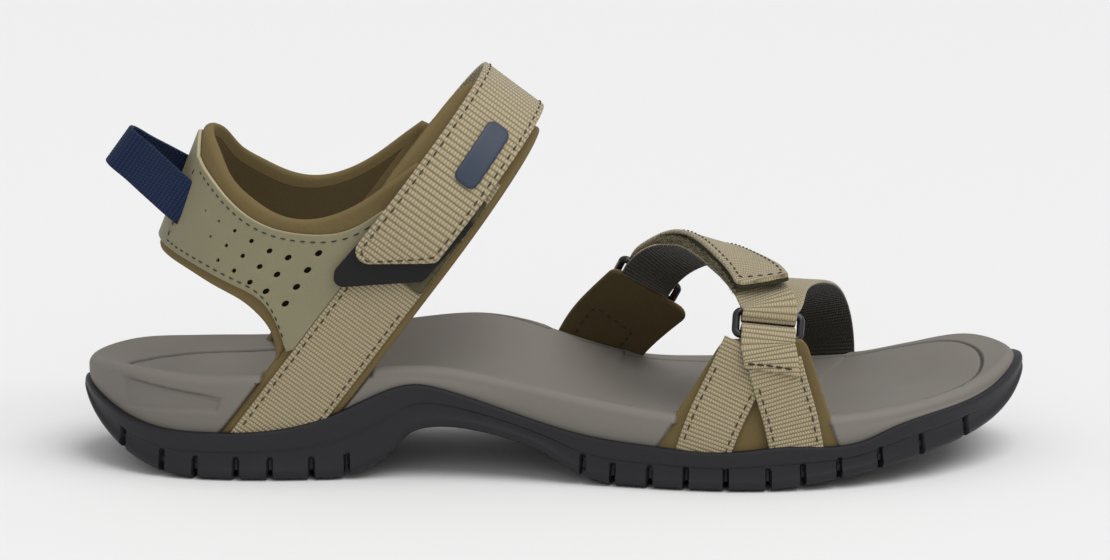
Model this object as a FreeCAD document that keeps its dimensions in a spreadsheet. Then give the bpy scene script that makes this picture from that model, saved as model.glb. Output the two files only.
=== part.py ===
"""Strappy sport sandal for the right foot, as separate pieces.

Millimetres. +X points to the toes, +Y to the big-toe (medial) side, +Z up. The origin is on the ground,
in the middle of the sandal's length and width.
"""
import FreeCAD, Part
import math
import os

from FreeCAD import Placement, Rotation, Vector

doc = FreeCAD.newDocument("sport_sandal")

# ---------------------------------------------------------------- driving dimensions (mm)
DIMENSIONS = [
    ("sole_length", 258.0), ("sole_width", 95.0), ("midsole_inset", 2.0), ("outsole_skin", 3.5),
    ("sipe_width", 1.2), ("sipe_depth", 3.2), ("footbed_thick", 3.5), ("footbed_inset", 6.0),
    ("shank_width", 18.0), ("shank_thick", 1.6), ("heel_pad_radius", 19.0), ("heel_pad_thick", 6.0),
    ("leg_half_span", 29.5), ("pad_thick", 3.5), ("collar_thick", 4.5), ("leather_thick", 1.2),
    ("webbing_thick", 1.4), ("tape_thick", 0.9), ("layer_gap", 0.1),
    ("ankle_web_width", 18.4), ("ankle_pad_width", 22.4), ("closure_width", 20.4),
    ("loop_width", 12.0), ("loop_thick", 1.3), ("forefoot_web_width", 14.6), ("forefoot_web_thick", 1.3),
    ("backing_thick", 1.8), ("ring_wire_radius", 1.05), ("ring_span", 17.4), ("ring_drop", 6.4), ("ring_corner", 1.4), ("bight_radius", 1.55),
    ("badge_length", 20.0), ("badge_width", 7.0), ("badge_thick", 0.8),
]
sheet = doc.addObject("Spreadsheet::Sheet", "dims")
for row, (alias, value) in enumerate(DIMENSIONS, start=1):
    sheet.set(f"A{row}", alias)
    sheet.set(f"B{row}", str(value))
    sheet.setAlias(f"B{row}", alias)
doc.recompute()


def dim(alias):
    """One driving dimension, read from the spreadsheet."""
    return float(sheet.get(alias))


# ---------------------------------------------------------------- small helpers
EXPORTED = []


def publish(obj, label):
    """Gives a sub-part its name and lists it for export."""
    obj.Label = label
    EXPORTED.append(obj)
    return obj


def free_form(label, shape):
    """A sub-part whose shape comes from Part's own functions."""
    obj = doc.addObject("Part::Feature", label)
    obj.Shape = shape
    return publish(obj, label)


def spline(points, closed=False):
    curve = Part.BSplineCurve()
    curve.interpolate([Vector(*p) for p in points], PeriodicFlag=closed)
    return curve.toShape()


def prism_y(top, bottom, half_depth=70.0):
    """Solid between two (X, Z) side profiles, running across the sandal."""
    upper = spline([(x, -half_depth, z) for x, z in top])
    lower = spline([(x, -half_depth, z) for x, z in bottom])
    ends = [Part.makeLine(upper.valueAt(upper.FirstParameter), lower.valueAt(lower.FirstParameter)),
            Part.makeLine(upper.valueAt(upper.LastParameter), lower.valueAt(lower.LastParameter))]
    face = Part.Face(Part.Wire(Part.__sortEdges__([upper, lower] + ends)))
    return face.extrude(Vector(0, 2 * half_depth, 0))


def side_plate(points, y_from, y_to):
    """Solid from a closed (X, Z) outline, between two Y planes; the outline is one smooth spline per run."""
    edges = []
    for run in points:
        if len(run) == 2:
            edges.append(Part.makeLine(Vector(run[0][0], y_from, run[0][1]), Vector(run[1][0], y_from, run[1][1])))
        else:
            edges.append(spline([(x, y_from, z) for x, z in run]))
    face = Part.Face(Part.Wire(Part.__sortEdges__(edges)))
    return face.extrude(Vector(0, y_to - y_from, 0))


def smooth(value, table):
    """Look a value up in a table of points, along an even curve through them."""
    last = len(table) - 1
    spot = 0
    while spot < last - 1 and value > table[spot + 1][0]:
        spot += 1
    (x0, y0), (x1, y1) = table[spot], table[spot + 1]
    before, after = table[max(spot - 1, 0)], table[min(spot + 2, last)]
    slope0 = (y1 - before[1]) / (x1 - before[0])
    slope1 = (after[1] - y0) / (after[0] - x0)
    share = min(1.0, max(0.0, (value - x0) / (x1 - x0)))
    rest = 1 - share
    ends = y0 * rest * rest * (1 + 2 * share) + y1 * share * share * (3 - 2 * share)
    return ends + (x1 - x0) * share * rest * (slope0 * rest - slope1 * share)


# ---------------------------------------------------------------- sole
# Plan outline of the outsole as shares of the length (X) and width (Y), heel centre first, lateral side first.
OUTLINE = [(-0.500, 0.00), (-0.472, -0.19), (-0.405, -0.325), (-0.290, -0.370), (-0.150, -0.345),
           (-0.030, -0.375), (0.080, -0.450), (0.180, -0.500), (0.285, -0.470), (0.390, -0.345),
           (0.465, -0.150), (0.500, 0.070), (0.480, 0.260), (0.420, 0.395), (0.320, 0.475), (0.205, 0.500),
           (0.100, 0.455), (0.000, 0.375), (-0.130, 0.318), (-0.270, 0.350), (-0.400, 0.325), (-0.472, 0.19)]
# Side profiles as (X, Z): underside of the tread, levelled off at the ground, and the wavy top edge of the rubber.
UNDERSIDE = [(-131, 23), (-127.8, 15.5), (-121.3, 8.3), (-112, 2.8), (-100, 0.1), (-94, -0.4), (-66, -0.4),
             (-58, 0.4), (-50, 3.2), (-44, 7.4), (-39, 12.2), (-32, 14.0), (-20, 12.8), (-9, 10.0), (-1.5, 6.8),
             (5, 2.9), (13, 0.4), (22, -0.4), (52, -0.4), (66, 0.9), (80, 2.9), (96, 5.8), (110, 8.8), (119, 11.6),
             (125.5, 15.8), (131, 24.5)]
RUBBER_TOP = [(-131, 22.6), (-127, 20.3), (-117, 15.6), (-106, 13.2), (-94, 12.9), (-80, 13.3), (-62, 17.0),
              (-48, 23.2), (-38, 25.9), (-30, 24.5), (-12, 18.7), (9, 13.2), (26, 11.5), (45, 10.6), (62, 12.0),
              (83, 12.4), (91, 15.2), (104, 18.0), (118, 20.4), (125, 23.2), (131, 27.0)]
RIM_LATERAL = [(-129, 27.2), (-117, 28.8), (-95, 28.3), (-78, 29.0), (-42, 30.4), (-30, 30.0), (-10, 26.4),
               (12, 22.4), (35, 19.8), (74, 19.3), (92, 20.2), (112, 22.6), (129, 26.4)]
RIM_MEDIAL = [(-129, 27.2), (-117, 27.4), (-100, 26.2), (-80, 26.0), (-62, 27.6), (-40, 31.6), (-22, 33.0),
              (-8, 30.4), (8, 24.0), (24, 18.8), (42, 17.2), (70, 17.4), (86, 18.8), (100, 22.2), (116, 26.6),
              (129, 27.0)]
DISH = [(-129, 1.0), (-118, 5.5), (-92, 7.5), (-50, 6.5), (-20, 4.5), (10, 2.6), (90, 2.2), (112, 1.6), (129, 0.6)]
SIPES = [-117.5, -106.4, -97.2, -86.1, -76.8, -65.6, -56.1, 7.4, 15.3, 25.2, 34.9, 45.6, 57.0, 66.4, 76.3,
         87.4, 98.9, 111.5]


def outline_points(inset=0.0):
    """Outline points, each moved inwards by the inset."""
    raw = [Vector(x * dim("sole_length"), y * dim("sole_width"), 0) for x, y in OUTLINE]
    moved = []
    for i, point in enumerate(raw):
        along = raw[(i + 1) % len(raw)] - raw[i - 1]
        inward = Vector(-along.y, along.x, 0).normalize()
        moved.append(point + inward * inset)
    return moved


def outline_prism(inset, z_low=-5.0, z_high=60.0):
    points = outline_points(inset)
    edge = spline([(p.x, p.y, z_low) for p in points], closed=True)
    return Part.Face(Part.Wire(edge)).extrude(Vector(0, 0, z_high - z_low))


def edge_y(x, side):
    """Distance of the outline from the centre line at X; side is -1 lateral, +1 medial."""
    half = len(OUTLINE) // 2
    run = OUTLINE[:half + 1] if side < 0 else [OUTLINE[0]] + OUTLINE[half:][::-1]
    run = sorted((px * dim("sole_length"), abs(py) * dim("sole_width")) for px, py in run)
    for (xa, a), (xb, b) in zip(run, run[1:]):
        if x <= xb:
            return max(6.0, a + (b - a) * max(0.0, (x - xa) / (xb - xa)))
    return 6.0


def top_height(x, y):
    """Height of the footbed's surface: a rim each side and a dish between them."""
    share = max(-1.1, min(1.1, y / edge_y(x, -1 if y < 0 else 1)))
    rim = smooth(x, RIM_LATERAL) * (1 - share) / 2 + smooth(x, RIM_MEDIAL) * (1 + share) / 2
    if abs(share) > 0.55:
        side = smooth(x, RIM_LATERAL if share < 0 else RIM_MEDIAL)
        blend = (abs(share) - 0.55) / 0.45
        rim += (side - rim) * min(1.0, blend)
    return rim - smooth(x, DISH) * (1 - min(1.0, share * share)) ** 0.8


def top_surface(drop):
    """The footbed's surface over the whole plan, lowered by drop."""
    xs = [-136 + 272 * i / 34 for i in range(35)]
    ys = [-56 + 112 * i / 16 for i in range(17)]
    surface = Part.BSplineSurface()
    surface.interpolate([[Vector(x, y, top_height(x, y) - drop) for y in ys] for x in xs])
    return surface.toShape()


UPWARDS = Vector(0, 0, 60)
CEILING = [(-131, 62), (0, 62), (131, 62)]
above_ground = outline_prism(0.0, 0.0)
rubber_envelope = above_ground.common(prism_y(RUBBER_TOP, UNDERSIDE))
core_floor = [(x, z + dim("outsole_skin")) for x, z in UNDERSIDE]
core_outline = outline_prism(dim("outsole_skin") + 1.0)
above_floor = prism_y(CEILING, core_floor)
outsole_blank = doc.addObject("Part::Feature", "outsole_blank")
outsole_blank.Shape = rubber_envelope.cut(core_outline.common(above_floor))

sipe_boxes = []
for number, x in enumerate(SIPES):
    box = doc.addObject("Part::Box", f"sipe_{number}")
    box.setExpression("Length", "dims.sipe_width")
    box.setExpression("Height", "dims.sipe_depth + 1")
    box.Width = 140
    floor = max(0.0, smooth(x, UNDERSIDE))
    box.Placement = Placement(Vector(x - dim("sipe_width") / 2, -70, floor - 1), Rotation())
    sipe_boxes.append(box)
tread_cuts = doc.addObject("Part::MultiFuse", "tread_cuts")
tread_cuts.Shapes = sipe_boxes
outsole = doc.addObject("Part::Cut", "outsole")
outsole.Base = outsole_blank
outsole.Tool = tread_cuts
publish(outsole, "outsole")

# The midsole's rim stands 2 mm inside the rubber; below the rubber's top edge it narrows to fill the cup.
above_surface = top_surface(0.0).extrude(UPWARDS)
rim_block = outline_prism(dim("midsole_inset")).cut(above_surface).common(prism_y(CEILING, RUBBER_TOP))
core_block = core_outline.cut(above_surface).common(above_floor)
footbed_floor = top_surface(dim("footbed_thick")).common(outline_prism(dim("footbed_inset"))).Faces[0]
footbed_shape = footbed_floor.extrude(Vector(0, 0, dim("footbed_thick")))
midsole_shape = rim_block.fuse(core_block).cut(footbed_floor.extrude(UPWARDS))

# Nylon shank: a shallow arched strip buried in the arch of the midsole.
XZ_ROTATION = Rotation(Vector(1, 0, 0), 90)
SHANK_RUN = [(-72, 12.5), (-38, 18.1), (-4, 13.5)]


def plane_body(label, edges, length_cell, placement, midplane=True):
    """PartDesign body: a closed profile on the body's XY plane, padded along its Z axis."""
    body = doc.addObject("PartDesign::Body", label)
    sketch = body.newObject("Sketcher::SketchObject", label + "_profile")
    plane = [f for f in body.Origin.OriginFeatures if f.Role == "XY_Plane"][0]
    sketch.AttachmentSupport = [(plane, "")]
    sketch.MapMode = "FlatFace"
    for edge in edges:
        sketch.addGeometry(edge, False)
    pad = body.newObject("PartDesign::Pad", label + "_pad")
    pad.Profile = sketch
    pad.SideType = "Symmetric" if midplane else "One side"
    pad.setExpression("Length", f"dims.{length_cell}")
    body.Tip = pad
    body.Placement = placement
    return publish(body, label)


def segment(a, b):
    return Part.LineSegment(Vector(a[0], a[1], 0), Vector(b[0], b[1], 0))


def arc(a, b, c):
    return Part.Arc(Vector(a[0], a[1], 0), Vector(b[0], b[1], 0), Vector(c[0], c[1], 0))


shank_top = [(x, z + dim("shank_thick")) for x, z in SHANK_RUN]
shank = plane_body("shank", [arc(*SHANK_RUN), segment(SHANK_RUN[-1], shank_top[-1]), arc(*shank_top),
                             segment(shank_top[0], SHANK_RUN[0])], "shank_width",
                   Placement(Vector(0, 0, 0), XZ_ROTATION))
HEEL_PAD_CENTRE = Vector(-93, 0, 6.0)
heel_pad = doc.addObject("Part::Cylinder", "heel_cushion")
heel_pad.setExpression("Radius", "dims.heel_pad_radius")
heel_pad.setExpression("Height", "dims.heel_pad_thick")
heel_pad.Placement = Placement(HEEL_PAD_CENTRE, Rotation())
publish(heel_pad, "heel_cushion")

# ---------------------------------------------------------------- ankle strap: layers round one leaning arch
# The strap lies in a plane that leans forwards. In that plane "across" is +Y and "rise" runs up and forwards;
# every layer is a straight leg each side, joined by half an ellipse over the instep.
LEAN = Vector(0.6, 0, 0.8)
STRAP_SIDEWAYS = Vector(0.8, 0, -0.6)
ANKLE_BASE = Vector(-75.6, 0, 13.3)
SPRING = 62.0
CREST_RISE = 39.4
ankle_placement = Placement(FreeCAD.Matrix(0, LEAN.x, STRAP_SIDEWAYS.x, ANKLE_BASE.x,
                                           1, LEAN.y, STRAP_SIDEWAYS.y, ANKLE_BASE.y,
                                           0, LEAN.z, STRAP_SIDEWAYS.z, ANKLE_BASE.z, 0, 0, 0, 1))


def arch_edge(half_span, start, end):
    """Sketch geometry of one layer face. start and end are ("leg", rise) or ("deg", degrees past the crest);
    start is on the lateral side (-Y), end is towards the medial side."""
    crest = SPRING + CREST_RISE + half_span - dim("leg_half_span")
    ellipse = Part.Ellipse(Vector(0, crest, 0), Vector(-half_span, SPRING, 0), Vector(0, SPRING, 0))
    found = []
    low = 90.0 if start[0] == "leg" else start[1]
    high = -90.0 if end[0] == "leg" else end[1]
    if start[0] == "leg":
        found.append(segment((-half_span, start[1]), (-half_span, SPRING)))
    if low > high:
        found.append(Part.ArcOfEllipse(ellipse, math.radians(high), math.radians(low)))
    if end[0] == "leg":
        found.append(segment((half_span, SPRING), (half_span, end[1])))
    ends = []
    for kind, value, sign in ((start[0], start[1], -1), (end[0], end[1], 1)):
        if kind == "leg":
            ends.append((sign * half_span, value))
        else:
            turn = math.radians(value)
            ends.append((-half_span * math.sin(turn), SPRING + (crest - SPRING) * math.cos(turn)))
    return found, ends


def arch_layer(label, inner_span, thick, start, end, width_cell):
    """One strap layer as a padded profile; start and end as in arch_edge."""
    inner, inner_ends = arch_edge(inner_span, start, end)
    outer, outer_ends = arch_edge(inner_span + thick, start, end)
    edges = inner + outer + [segment(inner_ends[0], outer_ends[0]), segment(inner_ends[1], outer_ends[1])]
    return plane_body(label, edges, width_cell, ankle_placement)


def leg_layer(label, inner_span, thick, low, high, side, width_cell):
    """A straight layer on one leg of the strap."""
    near, far = side * inner_span, side * (inner_span + thick)
    corners = [(near, low), (far, low), (far, high), (near, high)]
    edges = [segment(corners[i], corners[(i + 1) % 4]) for i in range(4)]
    return plane_body(label, edges, width_cell, ankle_placement)


gap = dim("layer_gap")
pad_inner = dim("leg_half_span")
web_inner = pad_inner + dim("pad_thick") + gap
loop_inner = web_inner + dim("webbing_thick") + gap
hook_inner = loop_inner + dim("tape_thick") + gap
closure_inner = hook_inner + dim("tape_thick") + gap
LEG_FOOT = 6.0
lateral_ankle_pad = arch_layer("lateral_ankle_pad", pad_inner, dim("pad_thick"), ("leg", LEG_FOOT), ("deg", 14.0),
                               "ankle_pad_width")
medial_ankle_pad = arch_layer("medial_ankle_pad", pad_inner, dim("pad_thick"), ("deg", -56.0), ("leg", LEG_FOOT),
                              "ankle_pad_width")
lateral_ankle_webbing = arch_layer("lateral_ankle_webbing", web_inner, dim("webbing_thick"), ("leg", LEG_FOOT),
                                   ("deg", 30.0), "ankle_web_width")
medial_ankle_webbing = leg_layer("medial_ankle_webbing", web_inner, dim("webbing_thick"), LEG_FOOT, 58.0, 1,
                                 "ankle_web_width")
ankle_loop_tape = arch_layer("ankle_loop_tape", loop_inner, dim("tape_thick"), ("leg", 54.0), ("deg", 34.0),
                             "ankle_web_width")
ankle_hook_tape = arch_layer("ankle_hook_tape", hook_inner, dim("tape_thick"), ("leg", 50.0), ("deg", 40.0),
                             "ankle_web_width")
ankle_closure_strap = arch_layer("ankle_closure_strap", closure_inner, dim("webbing_thick"), ("leg", 55.0),
                                 ("leg", 60.0), "closure_width")
badge_inner = closure_inner + dim("webbing_thick")
strap_badge = arch_layer("strap_badge", badge_inner, dim("badge_thick"), ("deg", 61.0), ("deg", 34.0), "badge_width")

# ---------------------------------------------------------------- heel collar: leaning U round the heel
COLLAR_LEAN = 0.398
COLLAR_BOTTOM = [(-112, 59.0), (-98.3, 55.2), (-91.2, 52.1), (-84.4, 48.9), (-79.6, 45.0), (-76.5, 40.7),
                 (-75.2, 36.3), (-74.9, 33.1)]
COLLAR_TOP = [(-100, 97.0), (-95.6, 91.6), (-92.1, 87.3), (-87.6, 80.8), (-81.5, 76.3), (-73.5, 72.3), (-65.5, 71.2),
              (-57.5, 73.1), (-46.8, 79.1), (-41.0, 83.5)]
COLLAR_FRONT = (-37.8, 82.5)
QUARTER_BOTTOM = [(-112, 62.3), (-103.9, 60.4), (-95.3, 57.4), (-87.1, 53.9), (-80.3, 50.5), (-76.3, 46.1),
                  (-73.7, 40.1), (-70.9, 35.1)]
QUARTER_TOP = [(-100, 93.0), (-94.8, 83.9), (-92, 80.6), (-84.1, 73.4), (-76.1, 69.3), (-65.4, 67.4), (-54.7, 68.8),
               (-47.0, 73.2)]
QUARTER_FRONT = (-43.4, 71.7)
BACK_PANEL_HALF = 12.0


def heel_wall(outer_radius, thick):
    """U-shaped wall round the heel, leaning forwards as it rises."""
    centre_x = -74.6 - 60 * COLLAR_LEAN
    front_x = centre_x + 70
    outline = []
    for radius in (outer_radius, outer_radius - thick):
        outline.append(Part.Arc(Vector(centre_x, -radius, 0), Vector(centre_x - radius, 0, 0),
                                Vector(centre_x, radius, 0)).toShape())
        for side in (-1, 1):
            outline.append(Part.makeLine(Vector(centre_x, side * radius, 0), Vector(front_x, side * radius, 0)))
    for side in (-1, 1):
        outline.append(Part.makeLine(Vector(front_x, side * outer_radius, 0),
                                     Vector(front_x, side * (outer_radius - thick), 0)))
    face = Part.Face(Part.Wire(Part.__sortEdges__(outline)))
    return face.extrude(Vector(COLLAR_LEAN * 110, 0, 110))


def wall_outline(bottom, top, front, y_from, y_to):
    runs = [bottom, [bottom[-1], front], [front, top[-1]], top, [top[0], bottom[0]]]
    return side_plate(runs, y_from, y_to)


collar_outer = pad_inner + dim("pad_thick")
collar_wall = heel_wall(collar_outer, dim("collar_thick"))
leather_wall = heel_wall(collar_outer + 0.05 + dim("leather_thick"), dim("leather_thick"))
free_form("collar_lining", collar_wall.common(wall_outline(COLLAR_BOTTOM, COLLAR_TOP, COLLAR_FRONT, -60, 60)))
for label, y_from, y_to in (("lateral_quarter", -60, -BACK_PANEL_HALF), ("medial_quarter", BACK_PANEL_HALF, 60),
                            ("heel_back_panel", -BACK_PANEL_HALF, BACK_PANEL_HALF)):
    free_form(label, leather_wall.common(wall_outline(QUARTER_BOTTOM, QUARTER_TOP, QUARTER_FRONT, y_from, y_to)))

# Webbing pull loop: a V in a plane through the width of the heel, rounded at its tip.
LOOP_ORIGIN = Vector(-101.1, 0, 73.2)
LOOP_OUT = Vector(-0.811, 0, 0.585)
LOOP_ACROSS = Vector(0.585, 0, 0.811)
LOOP_TIP_CENTRE = 17.0
LOOP_TIP_RADIUS = 5.6
LOOP_FOOT = 3.2
LOOP_SPLAY = math.radians(34)


def loop_side(radius):
    """One face of the loop: leg, tip arc, leg; returns its edges and its two feet."""
    touch = (radius * math.cos(LOOP_SPLAY), LOOP_TIP_CENTRE + radius * math.sin(LOOP_SPLAY))
    foot = (touch[0] + (touch[1] - LOOP_FOOT) * math.tan(LOOP_SPLAY), LOOP_FOOT)
    edges = [segment((-foot[0], foot[1]), (-touch[0], touch[1])),
             arc((-touch[0], touch[1]), (0, LOOP_TIP_CENTRE + radius), touch), segment(touch, foot)]
    return edges, foot


loop_outer, loop_outer_foot = loop_side(LOOP_TIP_RADIUS)
loop_inner_edges, loop_inner_foot = loop_side(LOOP_TIP_RADIUS - dim("loop_thick"))
loop_feet = [segment((side * loop_outer_foot[0], LOOP_FOOT), (side * loop_inner_foot[0], LOOP_FOOT))
             for side in (-1, 1)]
loop_placement = Placement(FreeCAD.Matrix(0, LOOP_OUT.x, LOOP_ACROSS.x, LOOP_ORIGIN.x, 1, 0, 0, LOOP_ORIGIN.y,
                                          0, LOOP_OUT.z, LOOP_ACROSS.z, LOOP_ORIGIN.z, 0, 0, 0, 1))
plane_body("heel_pull_loop", loop_outer + loop_inner_edges + loop_feet, "loop_width", loop_placement)

# ---------------------------------------------------------------- forefoot: rings, side panels and webbing


def unit(x, y, z):
    return Vector(x, y, z).normalize()


def run(stations, longest=5.0, sharpest=15.0):
    """Frames (point on the base face, thickness direction) along a smooth path of stations, closer in bends."""
    path = Part.BSplineCurve()
    path.interpolate([Vector(*point) for point, rise in stations])
    marks = [path.parameter(Vector(*point)) for point, rise in stations]
    fine = path.toShape().discretize(Distance=0.4)
    frames = []
    kept, kept_heading = None, None
    for k, point in enumerate(fine):
        heading = (fine[min(k + 1, len(fine) - 1)] - fine[max(k - 1, 0)]).normalize()
        if kept is not None and k < len(fine) - 1:
            turned = math.degrees(heading.getAngle(kept_heading))
            if point.distanceToPoint(kept) < longest and turned < sharpest:
                continue
        at = path.parameter(point)
        i = max(m for m in range(len(marks) - 1) if marks[m] <= at or m == 0)
        share = min(1.0, max(0.0, (at - marks[i]) / (marks[i + 1] - marks[i])))
        rise = Vector(*stations[i][1]) * (1 - share) + Vector(*stations[i + 1][1]) * share
        across = heading.cross(rise).normalize()
        frames.append((point, across.cross(heading).normalize(), across))
        kept, kept_heading = point, heading
    return frames


def along_run(frames, start, end):
    """The frames whose share of the run lies between start and end."""
    last = len(frames) - 1
    return [frame for i, frame in enumerate(frames) if start <= i / last <= end]


def ribbon(label, frames, width, thick, base=0.0):
    """Flat strap of constant width: ruled faces between its cross-sections."""
    wires = []
    for point, up, across in frames:
        low = point + up * base - across * (width / 2)
        high = low + across * width
        wires.append(Part.makePolygon([low, high, high + up * thick, low + up * thick, low]))
    return free_form(label, Part.makeLoft(wires, True, True))


class RingFrame:
    """Position of one rectangular ring: along its bars, up from the lower bar to the upper one, and outwards."""

    def __init__(self, centre, along, up):
        self.centre = Vector(*centre)
        self.along = unit(*along)
        self.up = (Vector(*up) - self.along * Vector(*up).dot(self.along)).normalize()
        self.out = self.along.cross(self.up)
        if self.out.y * self.centre.y < 0:
            self.out = self.out * -1
        self.upper = self.centre + self.up * (dim("ring_drop") / 2)
        self.lower = self.centre - self.up * (dim("ring_drop") / 2)

    def wrap(self, bar, degrees, reach=None):
        """Station on a strap round one bar; 0 degrees faces outwards, 90 degrees upwards."""
        turn = math.radians(degrees)
        away = self.out * math.cos(turn) + self.up * math.sin(turn)
        return (tuple(bar + away * (reach or dim("bight_radius"))), tuple(away))

    def offset(self, bar, out, up, facing):
        return (tuple(bar + self.out * out + self.up * up), tuple(self.out * facing))


def wire_ring(label, frame):
    """Rounded rectangle of wire."""
    half_long = dim("ring_span") / 2
    half_high = dim("ring_drop") / 2
    corner = dim("ring_corner")
    inner_long, inner_high = half_long - corner, half_high - corner
    slant = corner * math.sqrt(0.5)
    path = []
    corners = [(1, 1), (-1, 1), (-1, -1), (1, -1)]
    starts = []
    for index, (sx, sy) in enumerate(corners):
        on_end = Vector(sx * half_long, sy * inner_high, 0)
        on_bar = Vector(sx * inner_long, sy * half_high, 0)
        middle = Vector(sx * (inner_long + slant), sy * (inner_high + slant), 0)
        first, last = (on_end, on_bar) if index % 2 == 0 else (on_bar, on_end)
        starts.append((first, last))
        path.append(Part.Arc(first, middle, last).toShape())
    for index in range(4):
        path.append(Part.makeLine(starts[index][1], starts[(index + 1) % 4][0]))
    spine = Part.Wire(Part.__sortEdges__(path))
    section = Part.Wire(Part.makeCircle(dim("ring_wire_radius"), Vector(0, half_high, 0), Vector(1, 0, 0)))
    ring = spine.makePipeShell([section], True, True)
    obj = free_form(label, ring)
    side, up, centre = frame.along, frame.up, frame.centre
    facing = side.cross(up)
    obj.Placement = Placement(FreeCAD.Matrix(side.x, up.x, facing.x, centre.x, side.y, up.y, facing.y, centre.y,
                                             side.z, up.z, facing.z, centre.z, 0, 0, 0, 1))
    return obj


lateral = RingFrame((57, -37.5, 43.5), (0.99, 0.05, -0.11), (-0.1, 0.45, 0.88))
medial = RingFrame((25.8, 27.0, 42.3), (0.88, -0.10, -0.46), (0.45, -0.60, 0.65))
wire_ring("lateral_ring", lateral)
wire_ring("medial_ring", medial)

web_width = dim("forefoot_web_width")
web_thick = dim("forefoot_web_thick")

# Lateral side: a fan-shaped backing, a rear webbing and a front webbing that loops over the ring's lower bar.
BACKING_FEET = [(29.1, -43.4, 45.5), (46.0, -46.3, 52.0), (60.0, -45.4, 59.5), (73.6, -43.4, 66.5)]
BACKING_LOW_Z, BACKING_HIGH_Z, BACKING_HIGH_Y = 12.8, 34.0, -41.9
quads = []
for foot_x, foot_y, head_x in BACKING_FEET:
    foot = Vector(foot_x, foot_y, BACKING_LOW_Z)
    head = Vector(head_x, BACKING_HIGH_Y, BACKING_HIGH_Z)
    inwards = Vector(0, dim("backing_thick"), 0)
    quads.append(Part.makePolygon([foot, head, head + inwards, foot + inwards, foot]))
lateral_backing = free_form("lateral_forefoot_backing", Part.makeLoft(quads, True, False))

rear_run = [((39.7, -46.5, 12.8), (0, -1, 0)), ((44.8, -45.1, 23.0), (0, -1, 0.2)), ((49.8, -42.6, 33.8), (0, -1, 0.2))]
lateral_rear = ribbon("lateral_rear_webbing", run(rear_run), web_width, web_thick)
front_run = [((64.0, -46.1, 12.6), (0, -1, 0.1)), ((62.3, -46.0, 20.0), (0, -1, 0.1)),
             ((60.6, -45.7, 28.0), (0, -1, 0.15)), ((58.8, -44.7, 34.0), (0.05, -0.95, 0.3)),
             lateral.offset(lateral.lower, dim("bight_radius"), -3.0, 1)]
front_run += [lateral.wrap(lateral.lower, angle) for angle in (0, 45, 90, 135, 180)]
front_run += [lateral.offset(lateral.lower, -dim("bight_radius"), -5.0, -1)]
lateral_front = ribbon("lateral_front_webbing", run(front_run), web_width, web_thick)

# Medial side: a backing panel under the webbing that loops over the medial ring's lower bar.
medial_backing_run = [((9.0, 39.1, 13.6), (0, -1, 0)), ((12.5, 39.6, 22.0), (0, -1, -0.1)),
                      ((17.6, 37.1, 31.0), (-0.2, -0.9, -0.4))]
medial_backing = ribbon("medial_forefoot_backing", run(medial_backing_run), 23.0, dim("backing_thick"))
medial_run = [((9.0, 39.2, 13.6), (0, 1, 0)), ((12.0, 39.7, 22.0), (0, 1, 0.1)), ((16.6, 37.6, 31.2), (0.2, 0.9, 0.4)),
              medial.offset(medial.lower, dim("bight_radius"), -3.5, 1)]
medial_run += [medial.wrap(medial.lower, angle) for angle in (0, 45, 90, 135, 180)]
medial_run += [medial.offset(medial.lower, -dim("bight_radius"), -4.5, -1)]
medial_front = ribbon("medial_front_webbing", run(medial_run), web_width, web_thick)

# Toe strap: from the medial edge over the toes to the inner side of the lateral ring's upper bar and round it.
toe_run = [((77.2, 44.4, 14.0), (0, -1, 0)), ((77.2, 44.6, 22.0), (0, -1, -0.05)),
           ((74.8, 38.6, 33.6), (-0.04, -0.8, -0.5)), ((69.2, 22.0, 43.2), (-0.08, -0.42, -0.88)),
           ((64.2, 3.5, 47.5), (-0.08, -0.1, -0.97)), ((61.0, -13.5, 48.4), (-0.08, 0.15, -0.94)),
           ((58.9, -27.0, 46.6), (-0.1, 0.4, -0.9)),
           lateral.offset(lateral.upper, -dim("bight_radius"), 0.8, -1)]
toe_run += [lateral.wrap(lateral.upper, angle) for angle in (180, 225, 270, 315, 340)]
toe_strap = ribbon("toe_strap", run(toe_run), web_width, web_thick)

# Instep strap: carries on from the outer side of that bar, over the instep and under the medial ring's upper bar.
over_instep = [((56.6, -34.9, 51.1), (0.05, -0.8, 0.6)), ((54.0, -29.4, 53.0), (0.12, -0.5, 0.86)),
               ((50.6, -20.5, 53.8), (0.2, -0.22, 0.93)), ((43.8, -4.0, 54.3), (0.3, 0, 0.94)),
               ((36.0, 11.5, 52.0), (0.36, 0.3, 0.87))]
instep_run = [lateral.offset(lateral.upper, dim("bight_radius") + 0.4, 1.0, 1),
              lateral.offset(lateral.upper, dim("bight_radius") + 0.6, 2.6, 1)] + over_instep
under_bar = -(dim("bight_radius") + 2 * dim("forefoot_web_thick") + 0.35)
instep_run += [((29.8, 17.6, 48.2), (0.38, 0.62, 0.69)), medial.offset(medial.upper, under_bar, 0.4, 1),
               medial.offset(medial.upper, under_bar, -1.4, 1)]
instep_frames = run(instep_run)
instep_strap = ribbon("instep_strap", instep_frames, web_width, web_thick)

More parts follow.
